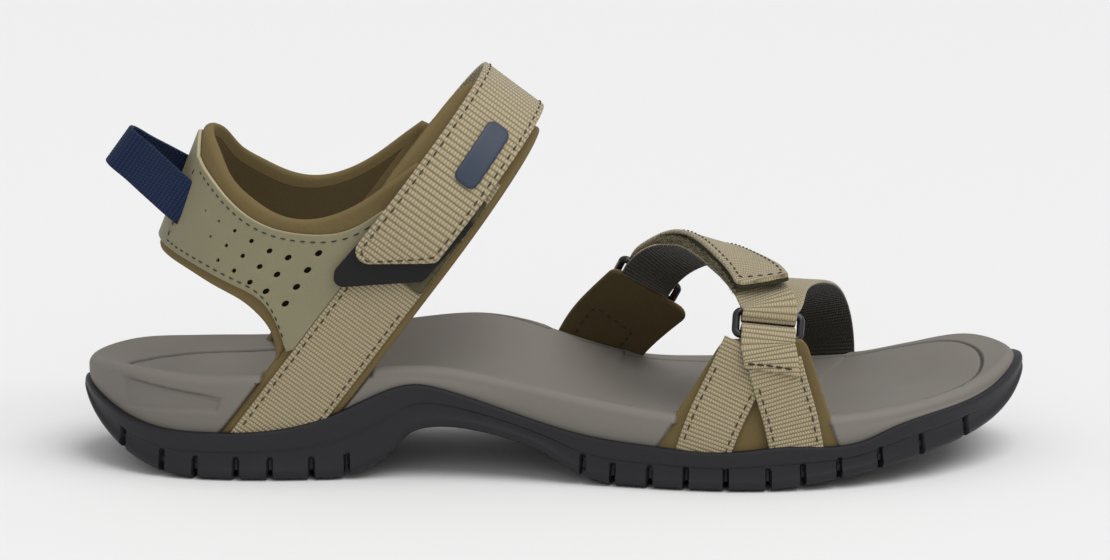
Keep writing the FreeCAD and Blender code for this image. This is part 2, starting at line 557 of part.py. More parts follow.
# Hook and loop tapes and the closure flap lie on the instep strap; the flap's end wraps the medial ring's upper bar.
TAPE_FROM, TAPE_TO = 0.15, 0.72
HOOK_TO = 0.66
tape_base = web_thick + gap
hook_base = tape_base + dim("tape_thick") + gap
flap_base = hook_base + dim("tape_thick") + 7 * gap
ribbon("forefoot_loop_tape", along_run(instep_frames, TAPE_FROM, TAPE_TO), web_width, dim("tape_thick"), tape_base)
ribbon("forefoot_hook_tape", along_run(instep_frames, TAPE_FROM, HOOK_TO), web_width, dim("tape_thick"), hook_base)
flap_frames = along_run(instep_frames, TAPE_FROM, TAPE_TO)
flap_run = [(tuple(point + up * flap_base), tuple(up)) for point, up, across in flap_frames]
flap_run += [medial.wrap(medial.upper, angle) for angle in (25, 0, -30, -60, -90, -120)]
ribbon("forefoot_closure_flap", run(flap_run), web_width, web_thick)

# ---------------------------------------------------------------- midsole and footbed, cleared for what enters them
doc.recompute()
buried = [shank.Shape, heel_pad.Shape, lateral_ankle_pad.Shape, medial_ankle_pad.Shape, lateral_ankle_webbing.Shape,
          medial_ankle_webbing.Shape, lateral_backing.Shape, lateral_rear.Shape, lateral_front.Shape,
          medial_backing.Shape, medial_front.Shape, toe_strap.Shape]
free_form("midsole", midsole_shape.cut(buried))
free_form("footbed", footbed_shape.cut(buried[2:]))
outsole_blank.Shape = outsole_blank.Shape.cut(buried[1:])

# ---------------------------------------------------------------- check and write
doc.recompute()


def check_document():
    """Stops on any object that failed, and on any sub-part without a valid shape."""
    for obj in doc.Objects:
        if "Invalid" in obj.State or "Error" in obj.State:
            raise RuntimeError(f"{obj.Label}: {obj.State}")
    for obj in EXPORTED:
        if obj.Shape.isNull() or not obj.Shape.isValid() or not obj.Shape.Solids:
            raise RuntimeError(f"{obj.Label}: no valid solid")


check_document()
os.makedirs("parts", exist_ok=True)
for obj in EXPORTED:
    obj.Shape.exportStep(f"parts/{obj.Label}.step")
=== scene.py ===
import math

import bpy
import numpy as np
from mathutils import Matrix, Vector
from mathutils.geometry import delaunay_2d_cdt


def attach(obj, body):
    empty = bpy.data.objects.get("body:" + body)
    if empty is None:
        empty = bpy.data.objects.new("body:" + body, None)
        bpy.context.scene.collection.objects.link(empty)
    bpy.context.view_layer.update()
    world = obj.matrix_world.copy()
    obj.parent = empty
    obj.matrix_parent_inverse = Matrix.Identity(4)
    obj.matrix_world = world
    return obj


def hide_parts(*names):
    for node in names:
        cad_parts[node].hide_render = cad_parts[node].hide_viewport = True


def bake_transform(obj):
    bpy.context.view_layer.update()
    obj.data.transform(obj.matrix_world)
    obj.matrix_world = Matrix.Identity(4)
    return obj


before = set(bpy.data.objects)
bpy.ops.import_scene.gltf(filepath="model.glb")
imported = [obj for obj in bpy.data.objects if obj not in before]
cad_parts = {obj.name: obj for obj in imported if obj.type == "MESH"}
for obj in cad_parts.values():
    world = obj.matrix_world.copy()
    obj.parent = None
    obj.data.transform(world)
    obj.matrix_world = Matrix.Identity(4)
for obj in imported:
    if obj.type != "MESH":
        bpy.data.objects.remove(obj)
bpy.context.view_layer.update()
MM = 0.001


# ---------------------------------------------------------------- curves
def cubic(points, closed=False):
    """Smooth curve through points: an evaluator of its chord-length parameter, and that parameter's end."""
    p = np.array(points, float)
    if closed:
        p = np.vstack([p, p[:1]])
    h = np.maximum(np.linalg.norm(np.diff(p, axis=0), axis=1), 1e-9)
    t = np.concatenate([[0], np.cumsum(h)])
    n = len(p)
    a = np.zeros((n, n))
    b = np.zeros((n, p.shape[1]))
    for i in range(1, n - 1):
        a[i, i - 1:i + 2] = [h[i - 1], 2 * (h[i - 1] + h[i]), h[i]]
        b[i] = 6 * ((p[i + 1] - p[i]) / h[i] - (p[i] - p[i - 1]) / h[i - 1])
    if closed:
        a[0, 0], a[0, -1] = 1, -1
        a[-1, 0], a[-1, 1], a[-1, -2], a[-1, -1] = 2 * h[0], h[0], h[-1], 2 * h[-1]
        b[-1] = 6 * ((p[1] - p[0]) / h[0] - (p[-1] - p[-2]) / h[-1])
    else:
        a[0, 0] = a[-1, -1] = 1
    m = np.linalg.solve(a, b)

    def at(s):
        s = np.atleast_1d(np.asarray(s, float))
        i = np.clip(np.searchsorted(t, s, side="right") - 1, 0, n - 2)
        u = (s - t[i])[:, None]
        v = (t[i + 1] - s)[:, None]
        hh = h[i][:, None]
        return (m[i] * v**3 + m[i + 1] * u**3) / (6 * hh) + (p[i] / hh - m[i] * hh / 6) * v + \
            (p[i + 1] / hh - m[i + 1] * hh / 6) * u
    return at, t[-1]


def dense(points, step=0.5, closed=False):
    """Points spaced evenly along the smooth curve through the given ones."""
    at, end = cubic(points, closed)
    fine = at(np.linspace(0, end, 4000))
    s = np.concatenate([[0], np.cumsum(np.linalg.norm(np.diff(fine, axis=0), axis=1))])
    count = max(4, int(round(s[-1] / step)))
    want = np.linspace(0, s[-1], count + 1)
    if closed:
        want = want[:-1]
    return np.stack([np.interp(want, s, fine[:, k]) for k in range(fine.shape[1])], 1)


def straight(points, step=0.5, closed=False):
    """Evenly spaced points along straight segments."""
    p = np.array(points, float)
    if closed:
        p = np.vstack([p, p[:1]])
    out = []
    for a, b in zip(p[:-1], p[1:]):
        n = max(1, int(round(np.linalg.norm(b - a) / step)))
        out += [a + (b - a) * k / n for k in range(n)]
    if not closed:
        out.append(p[-1])
    return np.array(out)


def rounded(corners, radii, step=0.5):
    """Closed outline with straight sides and rounded corners."""
    c = [np.array(v, float) for v in corners]
    out = []
    for i, p in enumerate(c):
        a, b = c[i - 1], c[(i + 1) % len(c)]
        r = radii[i] if hasattr(radii, "__len__") else radii
        ua, ub = (a - p) / np.linalg.norm(a - p), (b - p) / np.linalg.norm(b - p)
        half = math.acos(max(-1, min(1, float(ua @ ub)))) / 2
        if r <= 0.05:
            out.append(p)
            continue
        cut = r / math.tan(half)
        start, end = p + ua * cut, p + ub * cut
        centre = p + (ua + ub) / np.linalg.norm(ua + ub) * (r / math.sin(half))
        a0 = math.atan2(*(start - centre)[::-1])
        a1 = math.atan2(*(end - centre)[::-1])
        turn = (a1 - a0 + math.pi) % (2 * math.pi) - math.pi
        for k in range(7):
            g = a0 + turn * k / 6
            out.append(centre + r * np.array([math.cos(g), math.sin(g)]))
    return straight(out, step, closed=True)


def smooth(x, table):
    """Look values up along an even curve through (X, value) points."""
    x = np.asarray(x, float)
    xs = np.array([p[0] for p in table], float)
    vs = np.array([p[1] for p in table], float)
    slopes = np.empty(len(xs))
    slopes[1:-1] = (vs[2:] - vs[:-2]) / (xs[2:] - xs[:-2])
    slopes[0], slopes[-1] = (vs[1] - vs[0]) / (xs[1] - xs[0]), (vs[-1] - vs[-2]) / (xs[-1] - xs[-2])
    i = np.clip(np.searchsorted(xs, x, side="left") - 1, 0, len(xs) - 2)
    wide = xs[i + 1] - xs[i]
    a = np.clip((x - xs[i]) / wide, 0, 1)
    b = 1 - a
    ends = vs[i] * b * b * (1 + 2 * a) + vs[i + 1] * a * a * (3 - 2 * a)
    return ends + wide * a * b * (slopes[i] * b - slopes[i + 1] * a)


def profile(table):
    """Smooth curve through (X, Z) pairs as a function of X."""
    at, end = cubic(table)
    fine = at(np.linspace(0, end, 3000))
    return lambda x: np.interp(x, fine[:, 0], fine[:, 1])


# ---------------------------------------------------------------- meshes
def make_mesh(name, verts, faces, material, body, uv=None, smooth_angle=50, replaces=()):
    mesh = bpy.data.meshes.new(name)
    mesh.from_pydata((np.asarray(verts) * MM).tolist(), [], faces)
    mesh.validate()
    mesh.update()
    if uv is not None:
        layer = mesh.uv_layers.new(name="UVMap")
        loops = np.zeros(len(mesh.loops), np.int32)
        mesh.loops.foreach_get("vertex_index", loops)
        layer.data.foreach_set("uv", np.asarray(uv, np.float32)[loops].ravel())
    mesh.polygons.foreach_set("use_smooth", [True] * len(mesh.polygons))
    if smooth_angle:
        mesh.set_sharp_from_angle(angle=math.radians(smooth_angle))
    obj = bpy.data.objects.new(name, mesh)
    bpy.context.scene.collection.objects.link(obj)
    mesh.materials.append(material)
    if body:
        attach(obj, body)
    if replaces:
        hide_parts(*replaces)
    return obj


def grid_faces(rows, cols, wrap=False):
    faces = []
    last = cols if wrap else cols - 1
    for r in range(rows - 1):
        for c in range(last):
            d = (c + 1) % cols
            faces.append((r * cols + c, r * cols + d, (r + 1) * cols + d, (r + 1) * cols + c))
    return faces


def inside(points, polygon):
    x, y = points[:, 0:1], points[:, 1:2]
    a, b = polygon, np.roll(polygon, -1, 0)
    ay, by = a[:, 1][None], b[:, 1][None]
    ax, bx = a[:, 0][None], b[:, 0][None]
    cross = (ay > y) != (by > y)
    at = ax + (y - ay) * (bx - ax) / np.where(by == ay, 1e-12, by - ay)
    return (np.sum(cross & (x < at), 1) % 2) == 1


def edge_distance(points, polygon, closed=True):
    a = polygon if closed else polygon[:-1]
    b = np.roll(polygon, -1, 0) if closed else polygon[1:]
    best = np.full(len(points), 1e9)
    d = b - a
    len2 = np.maximum((d * d).sum(1), 1e-12)
    for start in range(0, len(points), 4000):
        q = points[start:start + 4000]
        t = np.clip(((q[:, None] - a[None]) * d[None]).sum(2) / len2[None], 0, 1)
        gap = q[:, None] - (a[None] + t[..., None] * d[None])
        best[start:start + 4000] = np.sqrt((gap**2).sum(2).min(1))
    return best


def sheet(name, outline, place, low, high, body, material, spacing=1.1, edge_round=0.6, edge_keep=0.0,
          holes=(), lift=None, replaces=(), slot=None, sides=50, under=None, over=None, rim=None):
    """Thick flat piece cut to an outline in its own (a, b) plane, laid on a surface by place(a, b, h)."""
    outline = np.asarray(outline, float)
    loops = [outline] + [np.asarray(h, float) for h in holes]
    pts, edges, taken = [], [], 0
    for loop in loops:
        pts.append(loop)
        edges += [(taken + i, taken + (i + 1) % len(loop)) for i in range(len(loop))]
        taken += len(loop)
    near = []
    tangent = np.roll(outline, -1, 0) - np.roll(outline, 1, 0)
    normal = np.stack([-tangent[:, 1], tangent[:, 0]], 1)
    normal /= np.maximum(np.linalg.norm(normal, axis=1, keepdims=True), 1e-9)
    area = np.sum(outline[:, 0] * np.roll(outline[:, 1], -1) - np.roll(outline[:, 0], -1) * outline[:, 1])
    normal *= 1 if area > 0 else -1
    for share in (0.12, 0.35, 0.7, 1.1):
        ring = outline + normal * edge_round * share
        ok = inside(ring, outline) & (edge_distance(ring, outline) > edge_round * share * 0.85)
        near.append(ring[ok])
    lo, hi = outline.min(0), outline.max(0)
    rows = []
    row = 0
    y = lo[1] + spacing / 2
    while y < hi[1]:
        xs = np.arange(lo[0] + (spacing / 2 if row % 2 else 0), hi[0], spacing)
        rows.append(np.stack([xs, np.full(len(xs), y)], 1))
        y += spacing * 0.87
        row += 1
    inner = np.vstack(rows)
    inner = inner[inside(inner, outline)]
    inner = inner[edge_distance(inner, outline) > edge_round * 1.1 + 0.35 * spacing]
    for hole in loops[1:]:
        inner = inner[~inside(inner, hole) & (edge_distance(inner, hole) > 0.3 * spacing)]
    allp = np.vstack(pts + near + [inner])
    out = delaunay_2d_cdt([Vector(p) for p in allp], edges, [], 0, 1e-5)
    v2 = np.array([(p.x, p.y) for p in out[0]])
    tris = np.array([t for t in out[2]], int)
    centre = v2[tris].mean(1)
    keep = inside(centre, outline)
    for hole in loops[1:]:
        keep &= ~inside(centre, hole)
    tris = tris[keep]
    used = np.unique(tris)
    index = -np.ones(len(v2), int)
    index[used] = np.arange(len(used))
    v2, tris = v2[used], index[tris]
    d = edge_distance(v2, outline)
    f = edge_keep + (1 - edge_keep) * np.sqrt(np.clip(1 - (1 - np.clip(d / edge_round, 0, 1))**2, 0, 1))
    for hole in loops[1:]:
        dh = edge_distance(v2, hole)
        f = np.minimum(f, 0.75 + 0.25 * np.clip(dh / 0.35, 0, 1))
    mid, half = (low + high) / 2, (high - low) / 2
    extra = lift(v2, d) if lift else 0.0
    top = place(v2[:, 0], v2[:, 1], mid + half * f + extra)
    bottom = place(v2[:, 0], v2[:, 1], mid - half * f + (extra if lift and getattr(lift, "both",
                                                                                   False) else 0.0))
    n = len(v2)
    e1 = top[tris[:, 1]] - top[tris[:, 0]]
    e2 = top[tris[:, 2]] - top[tris[:, 0]]
    thick_dir = place(v2[:, 0], v2[:, 1], high + 1.0) - place(v2[:, 0], v2[:, 1], low)
    flip = np.sum(np.cross(e1, e2) * thick_dir[tris[:, 0]]) < 0
    upper = tris[:, ::-1] if flip else tris
    faces = [tuple(t) for t in upper.tolist()] + [tuple(t) for t in (upper[:, ::-1] + n).tolist()]
    count = {}
    for t in upper.tolist():
        for k in range(3):
            count[(t[k], t[(k + 1) % 3])] = 1
    for (i, j) in count:
        if (j, i) not in count:
            faces.append((j, i, i + n, j + n))
    obj = make_mesh(name, np.vstack([top, bottom]), faces, material, body, np.vstack([v2, v2]), sides,
                    replaces)
    if len(obj.data.vertices) == 2 * n:
        depth = obj.data.attributes.new("depth", "FLOAT", "POINT")
        depth.data.foreach_set("value", np.concatenate([np.zeros(n), d]).astype(np.float32))
    index = np.zeros(len(faces), np.int32)
    count = len(tris)
    if over:
        index[:count] = 1
        obj.data.materials.append(over)
    if under:
        index[count:2 * count] = len(obj.data.materials)
        obj.data.materials.append(under)
    if rim:
        index[2 * count:] = len(obj.data.materials)
        obj.data.materials.append(rim)
    if len(obj.data.polygons) == len(faces):
        obj.data.polygons.foreach_set("material_index", index)
    return obj


def stitches(name, path, place, height, body, material, length=1.7, gap=1.0, radius=0.25, closed=False):
    """A row of small sunken thread stitches along a path on a piece's surface."""
    path = np.asarray(path, float)
    if closed:
        path = np.vstack([path, path[:1]])
    s = np.concatenate([[0], np.cumsum(np.linalg.norm(np.diff(path, axis=0), axis=1))])
    verts, faces = [], []
    sides, rings = 6, 5
    start = gap / 2
    while start + length < s[-1]:
        q = np.linspace(start, start + length, rings)
        ab = np.stack([np.interp(q, s, path[:, 0]), np.interp(q, s, path[:, 1])], 1)
        base = place(ab[:, 0], ab[:, 1], np.full(rings, float(height)))
        above = place(ab[:, 0], ab[:, 1], np.full(rings, float(height) + 1.0))
        up = above - base
        up /= np.linalg.norm(up, axis=1, keepdims=True)
        along = np.gradient(base, axis=0)
        side = np.cross(along, up)
        side /= np.maximum(np.linalg.norm(side, axis=1, keepdims=True), 1e-9)
        bow = np.array([-0.55, 0.1, 0.3, 0.1, -0.55]) * radius
        fat = np.array([0.45, 0.9, 1.0, 0.9, 0.45]) * radius
        first = len(verts)
        for k in range(rings):
            for g in range(sides):
                turn = 2 * math.pi * g / sides
                rise = bow[k] + math.sin(turn) * fat[k]
                verts.append(base[k] + up[k] * rise + side[k] * math.cos(turn) * fat[k])
        for k in range(rings - 1):
            for g in range(sides):
                a, b = first + k * sides + g, first + k * sides + (g + 1) % sides
                faces.append((a, b, b + sides, a + sides))
        faces.append(tuple(first + g for g in range(sides))[::-1])
        faces.append(tuple(first + (rings - 1) * sides + g for g in range(sides)))
        start += length + gap
    return make_mesh(name, np.array(verts), faces, material, body, None, 0)


# ---------------------------------------------------------------- materials
class Nodes:
    """Short-hand for building one procedural material."""

    def __init__(self, name, base, rough=0.6):
        self.material = bpy.data.materials.new(name)
        self.material.use_nodes = True
        self.tree = self.material.node_tree
        self.bsdf = self.tree.nodes["Principled BSDF"]
        self.bsdf.inputs["Base Color"].default_value = (*base, 1)
        self.bsdf.inputs["Roughness"].default_value = rough

    def node(self, kind, **props):
        n = self.tree.nodes.new(kind)
        for key, value in props.items():
            setattr(n, key, value)
        return n

    def link(self, a, b):
        self.tree.links.new(a, b)

    def math(self, op, a, b=None, c=None, clamp=False):
        n = self.node("ShaderNodeMath", operation=op, use_clamp=clamp)
        for i, v in enumerate((a, b, c)):
            if v is None:
                continue
            if isinstance(v, (int, float)):
                n.inputs[i].default_value = v
            else:
                self.link(v, n.inputs[i])
        return n.outputs[0]

    def coords(self, kind="Object", scale=1000.0):
        n = self.node("ShaderNodeTexCoord")
        m = self.node("ShaderNodeVectorMath", operation="SCALE")
        self.link(n.outputs[kind], m.inputs[0])
        m.inputs["Scale"].default_value = scale
        return m.outputs[0]

    def noise(self, vector, scale, detail=3.0, rough=0.6):
        n = self.node("ShaderNodeTexNoise")
        self.link(vector, n.inputs["Vector"])
        n.inputs["Scale"].default_value = scale
        n.inputs["Detail"].default_value = detail
        n.inputs["Roughness"].default_value = rough
        return n.outputs["Fac"]

    def voronoi(self, vector, scale, feature="F1"):
        n = self.node("ShaderNodeTexVoronoi", feature=feature)
        self.link(vector, n.inputs["Vector"])
        n.inputs["Scale"].default_value = scale
        return n.outputs["Distance"]

    def mix(self, fac, low, high):
        n = self.node("ShaderNodeMix", data_type="RGBA")
        if isinstance(fac, (int, float)):
            n.inputs[0].default_value = fac
        else:
            self.link(fac, n.inputs[0])
        for socket, v in ((n.inputs[6], low), (n.inputs[7], high)):
            if isinstance(v, tuple):
                socket.default_value = (*v, 1)
            else:
                self.link(v, socket)
        return n.outputs[2]

    def colour(self, socket):
        self.link(socket, self.bsdf.inputs["Base Color"])

    def bump(self, height, distance, strength=1.0):
        n = self.node("ShaderNodeBump")
        n.inputs["Strength"].default_value = strength
        n.inputs["Distance"].default_value = distance * MM
        self.link(height, n.inputs["Height"])
        self.link(n.outputs[0], self.bsdf.inputs["Normal"])

    def set(self, **values):
        for key, value in values.items():
            self.bsdf.inputs[key.replace("_", " ")].default_value = value
        return self


def webbing(name, dark, light, pitch=1.1, bead=0.72, depth=0.3):
    """Ribbed webbing: rows of small beads across the strap, in UV millimetres."""
    m = Nodes(name, light, 0.75)
    uv = m.node("ShaderNodeTexCoord").outputs["UV"]
    split = m.node("ShaderNodeSeparateXYZ")
    m.link(uv, split.inputs[0])
    u = m.math("DIVIDE", split.outputs[0], pitch)
    row = m.math("FLOOR", u)
    half = m.math("MULTIPLY", m.math("MODULO", row, 2.0), 0.5)
    v = m.math("ADD", m.math("DIVIDE", split.outputs[1], bead), half)
    rib = m.math("POWER", m.math("ABSOLUTE", m.math("SINE", m.math("MULTIPLY", u, math.pi))), 0.7)
    dot = m.math("POWER", m.math("ABSOLUTE", m.math("SINE", m.math("MULTIPLY", v, math.pi))), 0.8)
    height = m.math("MULTIPLY", rib, m.math("ADD", m.math("MULTIPLY", dot, 0.6), 0.4))
    rough_noise = m.noise(m.coords(), 1.2, 4.0)
    fuzz = m.math("MULTIPLY", rough_noise, 0.25)
    tone = m.math("ADD", height, m.math("SUBTRACT", fuzz, 0.12), clamp=True)
    patch = m.noise(m.coords(), 0.06, 2.0)
    worn = m.mix(m.math("MULTIPLY", patch, 0.18), light, tuple(c * 0.72 for c in light))
    # Colour runs from dark in the hollows between ribs and beads to light on their tops: painted shade
    # following the rib height; the fuzz noise and worn patches are the webbing's own tone.
    m.colour(m.mix(m.math("POWER", tone, 0.75), dark, worn))
    m.bump(m.math("ADD", height, m.math("MULTIPLY", rough_noise, 0.22)), depth, 1.0)
    m.set(Sheen_Weight=0.25, Sheen_Roughness=0.5, Specular_IOR_Level=0.25)
    return m.material


def suede(name, base, spread=0.25, fine=1.8, inner=None, seam=3.6):
    m = Nodes(name, base, 0.95)
    c = m.coords()
    grain = m.noise(c, fine, 5.0, 0.7)
    patch = m.noise(c, 0.09, 3.0)
    tone = m.math("ADD", m.math("MULTIPLY", grain, 0.6), m.math("MULTIPLY", patch, 0.4))
    low = tuple(v * (1 - spread) for v in base)
    high = tuple(min(1, v * (1 + spread)) for v in base)
    shade = m.mix(tone, low, high)
    # With inner given, the back face past the seam depth takes the darker inner colour: painted shade on the
    # inside; the thin dark line at the seam is the seam itself.
    if inner:
        depth = m.node("ShaderNodeAttribute", attribute_name="depth").outputs["Fac"]
        wobble = m.math("ADD", depth, m.math("MULTIPLY", m.math("SUBTRACT", grain, 0.5), 0.5))
        beyond = m.math("MULTIPLY", m.math("SUBTRACT", wobble, seam), 2.5, clamp=True)
        shade = m.mix(beyond, shade, m.mix(tone, tuple(v * 0.8 for v in inner),
                                           tuple(v * 1.25 for v in inner)))
        line = m.math("SUBTRACT", 1.0, m.math("MULTIPLY",
                                              m.math("ABSOLUTE", m.math("SUBTRACT", wobble, seam)), 3.0),
                      clamp=True)
        shade = m.mix(m.math("MULTIPLY", line, 0.75), shade, tuple(v * 0.25 for v in inner))
    m.colour(shade)
    m.bump(grain, 0.14, 0.8)
    m.set(Sheen_Weight=0.35, Sheen_Roughness=0.6, Specular_IOR_Level=0.15)
    m.bsdf.inputs["Sheen Tint"].default_value = (*high, 1)
    return m.material


def leather(name, base):
    m = Nodes(name, base, 0.5)
    c = m.coords()
    cells = m.voronoi(c, 1.15, "SMOOTH_F1")
    fine = m.noise(c, 2.4, 4.0)
    patch = m.noise(c, 0.05, 3.0)
    height = m.math("ADD", m.math("MULTIPLY", cells, -0.9), m.math("MULTIPLY", fine, 0.35))
    low = tuple(v * 0.86 for v in base)
    high = tuple(min(1, v * 1.12) for v in base)
    m.colour(m.mix(m.math("ADD", m.math("MULTIPLY", patch, 0.7), m.math("MULTIPLY", fine, 0.3)), low, high))
    m.bump(height, 0.12, 0.7)
    m.set(Specular_IOR_Level=0.4)
    return m.material


def foam(name, base):
    m = Nodes(name, base, 0.62)
    c = m.coords()
    fine = m.noise(c, 2.2, 4.0)
    pores = m.voronoi(c, 1.9)
    patch = m.noise(c, 0.03, 3.0)
    low = tuple(v * 0.9 for v in base)
    high = tuple(v * 1.08 for v in base)
    tone = m.mix(m.math("ADD", m.math("MULTIPLY", patch, 0.7), m.math("MULTIPLY", fine, 0.3)), low, high)
    # The UV's first coordinate darkens the foam towards 0.3 of its colour in the engraved lines and the heel
    # recess crease: painted shade.
    split = m.node("ShaderNodeSeparateXYZ")
    m.link(m.node("ShaderNodeTexCoord").outputs["UV"], split.inputs[0])
    m.colour(m.mix(split.outputs[0], tone, tuple(v * 0.3 for v in base)))
    m.bump(m.math("ADD", fine, m.math("MULTIPLY", pores, 0.4)), 0.06, 0.6)
    m.set(Specular_IOR_Level=0.35)
    return m.material


def rubber(name, base, rough=0.48):
    m = Nodes(name, base, rough)
    c = m.coords()
    fine = m.noise(c, 1.6, 5.0)
    patch = m.noise(c, 0.08, 3.0)
    low = tuple(v * 0.8 for v in base)
    high = tuple(v * 1.45 for v in base)
    m.colour(m.mix(m.math("ADD", m.math("MULTIPLY", patch, 0.6), m.math("MULTIPLY", fine, 0.4)), low, high))
    m.bump(fine, 0.12, 0.8)
    m.set(Specular_IOR_Level=0.35)
    return m.material


def plain(name, base, rough, bump=0.0, spec=0.5):
    m = Nodes(name, base, rough)
    if bump:
        m.bump(m.noise(m.coords(), 2.0, 3.0), bump, 0.6)
    m.set(Specular_IOR_Level=spec)
    return m.material


KHAKI = webbing("khaki_webbing", (0.106, 0.083, 0.045), (0.48, 0.402, 0.246))
KHAKI_WIDE = webbing("khaki_webbing_wide", (0.106, 0.083, 0.045), (0.48, 0.402, 0.246), 1.45, 0.9, 0.35)
# Much darker copy of the khaki webbing for strap faces turned away from the light: painted shade.
KHAKI_PAINTED_SHADE = webbing("khaki_webbing_painted_shade", (0.008, 0.0065, 0.0045), (0.038, 0.031, 0.02))
NAVY = webbing("navy_webbing", (0.0008, 0.003, 0.012), (0.006, 0.021, 0.075), 1.2, 0.85)
NAVY.node_tree.nodes["Principled BSDF"].inputs["Sheen Weight"].default_value = 0.03
OLIVE = suede("olive_suede", (0.155, 0.114, 0.05))
# Olive suede whose inside face, below the top seam, is painted darker as shade.
OLIVE_SHADED_INSIDE = suede("olive_suede_inner_painted_shade", (0.155, 0.114, 0.05), inner=(0.085, 0.061, 0.027))
# Darker copy of the olive suede for the medial panel's inside face: painted shade.
OLIVE_PAINTED_SHADE = suede("olive_suede_inside_painted_shade", (0.088, 0.064, 0.029))
SAGE = leather("sage_leather", (0.222, 0.201, 0.117))
CUT_EDGE = plain("pale_cut_edge", (0.42, 0.37, 0.24), 0.8, 0.05)
EVA = foam("taupe_foam", (0.182, 0.166, 0.146))
RUBBER = rubber("black_rubber", (0.0095, 0.0095, 0.0118))
RING = plain("ring_gloss", (0.012, 0.012, 0.014), 0.22, 0.03)
BADGE = plain("navy_rubber", (0.016, 0.028, 0.055), 0.5, 0.05)
TAB = plain("black_tab", (0.004, 0.004, 0.005), 0.6, 0.05, 0.3)
# Near-black for the insides of the perforations: painted shadow.
HOLE_SHADOW = plain("hole_painted_shadow", (0.012, 0.009, 0.006), 0.9, 0.0, 0.1)
THREAD = plain("brown_thread", (0.028, 0.020, 0.011), 0.8, 0.05)
THREAD_KHAKI = plain("khaki_thread", (0.05, 0.037, 0.02), 0.8, 0.05)
PILE = suede("olive_pile", (0.085, 0.075, 0.042), 0.5, 1.0)
HOOK = suede("dark_hooks", (0.04, 0.036, 0.022), 0.5, 1.0)
FIBRE = plain("pile_fibre", (0.28, 0.25, 0.15), 0.8)

# ---------------------------------------------------------------- sole shapes (mm)
LENGTH, WIDTH = 258.0, 95.0
OUTLINE = [(-0.500, 0.00), (-0.472, -0.19), (-0.405, -0.325), (-0.290, -0.370), (-0.150, -0.345),
           (-0.030, -0.375), (0.080, -0.450), (0.180, -0.500), (0.285, -0.470), (0.390, -0.345),
           (0.465, -0.150), (0.500, 0.070), (0.480, 0.260), (0.420, 0.395), (0.320, 0.475), (0.205, 0.500),
           (0.100, 0.455), (0.000, 0.375), (-0.130, 0.318), (-0.270, 0.350), (-0.400, 0.325), (-0.472, 0.19)]
UNDERSIDE = lambda x: np.maximum(0.0, TREAD(x))
TREAD = profile([(-131, 23), (-127.8, 15.5), (-121.3, 8.3), (-112, 2.8), (-100, 0.1), (-94, -0.4),
                 (-66, -0.4),
                     (-58, 0.4), (-50, 3.2), (-44, 7.4), (-39, 12.2), (-32, 14.0), (-20, 12.8), (-9, 10.0),
                     (-1.5, 6.8), (5, 2.9), (13, 0.4), (22, -0.4), (52, -0.4), (66, 0.9), (80, 2.9),
                     (96, 5.8),
                     (110, 8.8), (119, 11.6), (125.5, 15.8), (131, 24.5)])
RUBBER_TOP = profile([(-131, 22.6), (-127, 20.3), (-117, 15.6), (-106, 13.2), (-94, 12.9), (-80, 13.3),
                      (-62, 17.0),
                      (-48, 23.2), (-38, 25.9), (-30, 24.5), (-12, 18.7), (9, 13.2), (26, 11.5), (45, 10.6),
                      (62, 12.0), (83, 12.4), (91, 15.2), (104, 18.0), (118, 20.4), (125, 23.2), (131, 27.0)])
RIM_LATERAL = [(-129, 27.2), (-117, 28.8), (-95, 28.3), (-78, 29.0), (-42, 30.4), (-30, 30.0), (-10, 26.4),
               (12, 22.4), (35, 19.8), (74, 19.3), (92, 20.2), (112, 22.6), (129, 26.4)]
RIM_MEDIAL = [(-129, 27.2), (-117, 27.4), (-100, 26.2), (-80, 26.0), (-62, 27.6), (-40, 31.6), (-22, 33.0),
              (-8, 30.4), (8, 24.0), (24, 18.8), (42, 17.2), (70, 17.4), (86, 18.8), (100, 22.2), (116, 26.6),
              (129, 27.0)]
DISH_FULL = [(-129, 7.6), (-92, 7.6), (-50, 6.6), (-20, 4.6), (10, 2.8), (90, 2.4), (112, 2.6), (129, 3.0)]
SIPES = [-117.5, -106.4, -97.2, -86.1, -76.8, -65.6, -56.1, 7.4, 15.3, 25.2, 34.9, 45.6, 57.0, 66.4, 76.3,
         87.4, 98.9, 111.5]
raw_outline = np.array([(x * LENGTH, y * WIDTH) for x, y in OUTLINE])
around = np.roll(raw_outline, -1, 0) - np.roll(raw_outline, 1, 0)
inwards = np.stack([-around[:, 1], around[:, 0]], 1)
inwards /= np.linalg.norm(inwards, axis=1, keepdims=True)


def outline(inset, step):
    return dense(raw_outline + inwards * inset, step, closed=True)


def edge_width(x, side):
    half = len(OUTLINE) // 2
    run = OUTLINE[:half + 1] if side < 0 else [OUTLINE[0]] + OUTLINE[half:][::-1]
    run = sorted((px * LENGTH, abs(py) * WIDTH) for px, py in run)
    return np.maximum(6.0, np.interp(x, [p[0] for p in run], [p[1] for p in run]))


def towards_spine(points):
    """For each outline point, the nearest point of the sole's centre line."""
    x = np.clip(points[:, 0] * 0.80, -90, 92)
    middle = (edge_width(x, 1) - edge_width(x, -1)) / 2
    return np.stack([x, middle], 1)


def ripple(x, centre, half, soft):
    d = np.abs(x - centre)
    return np.clip((half + soft - d) / soft, 0, 1)


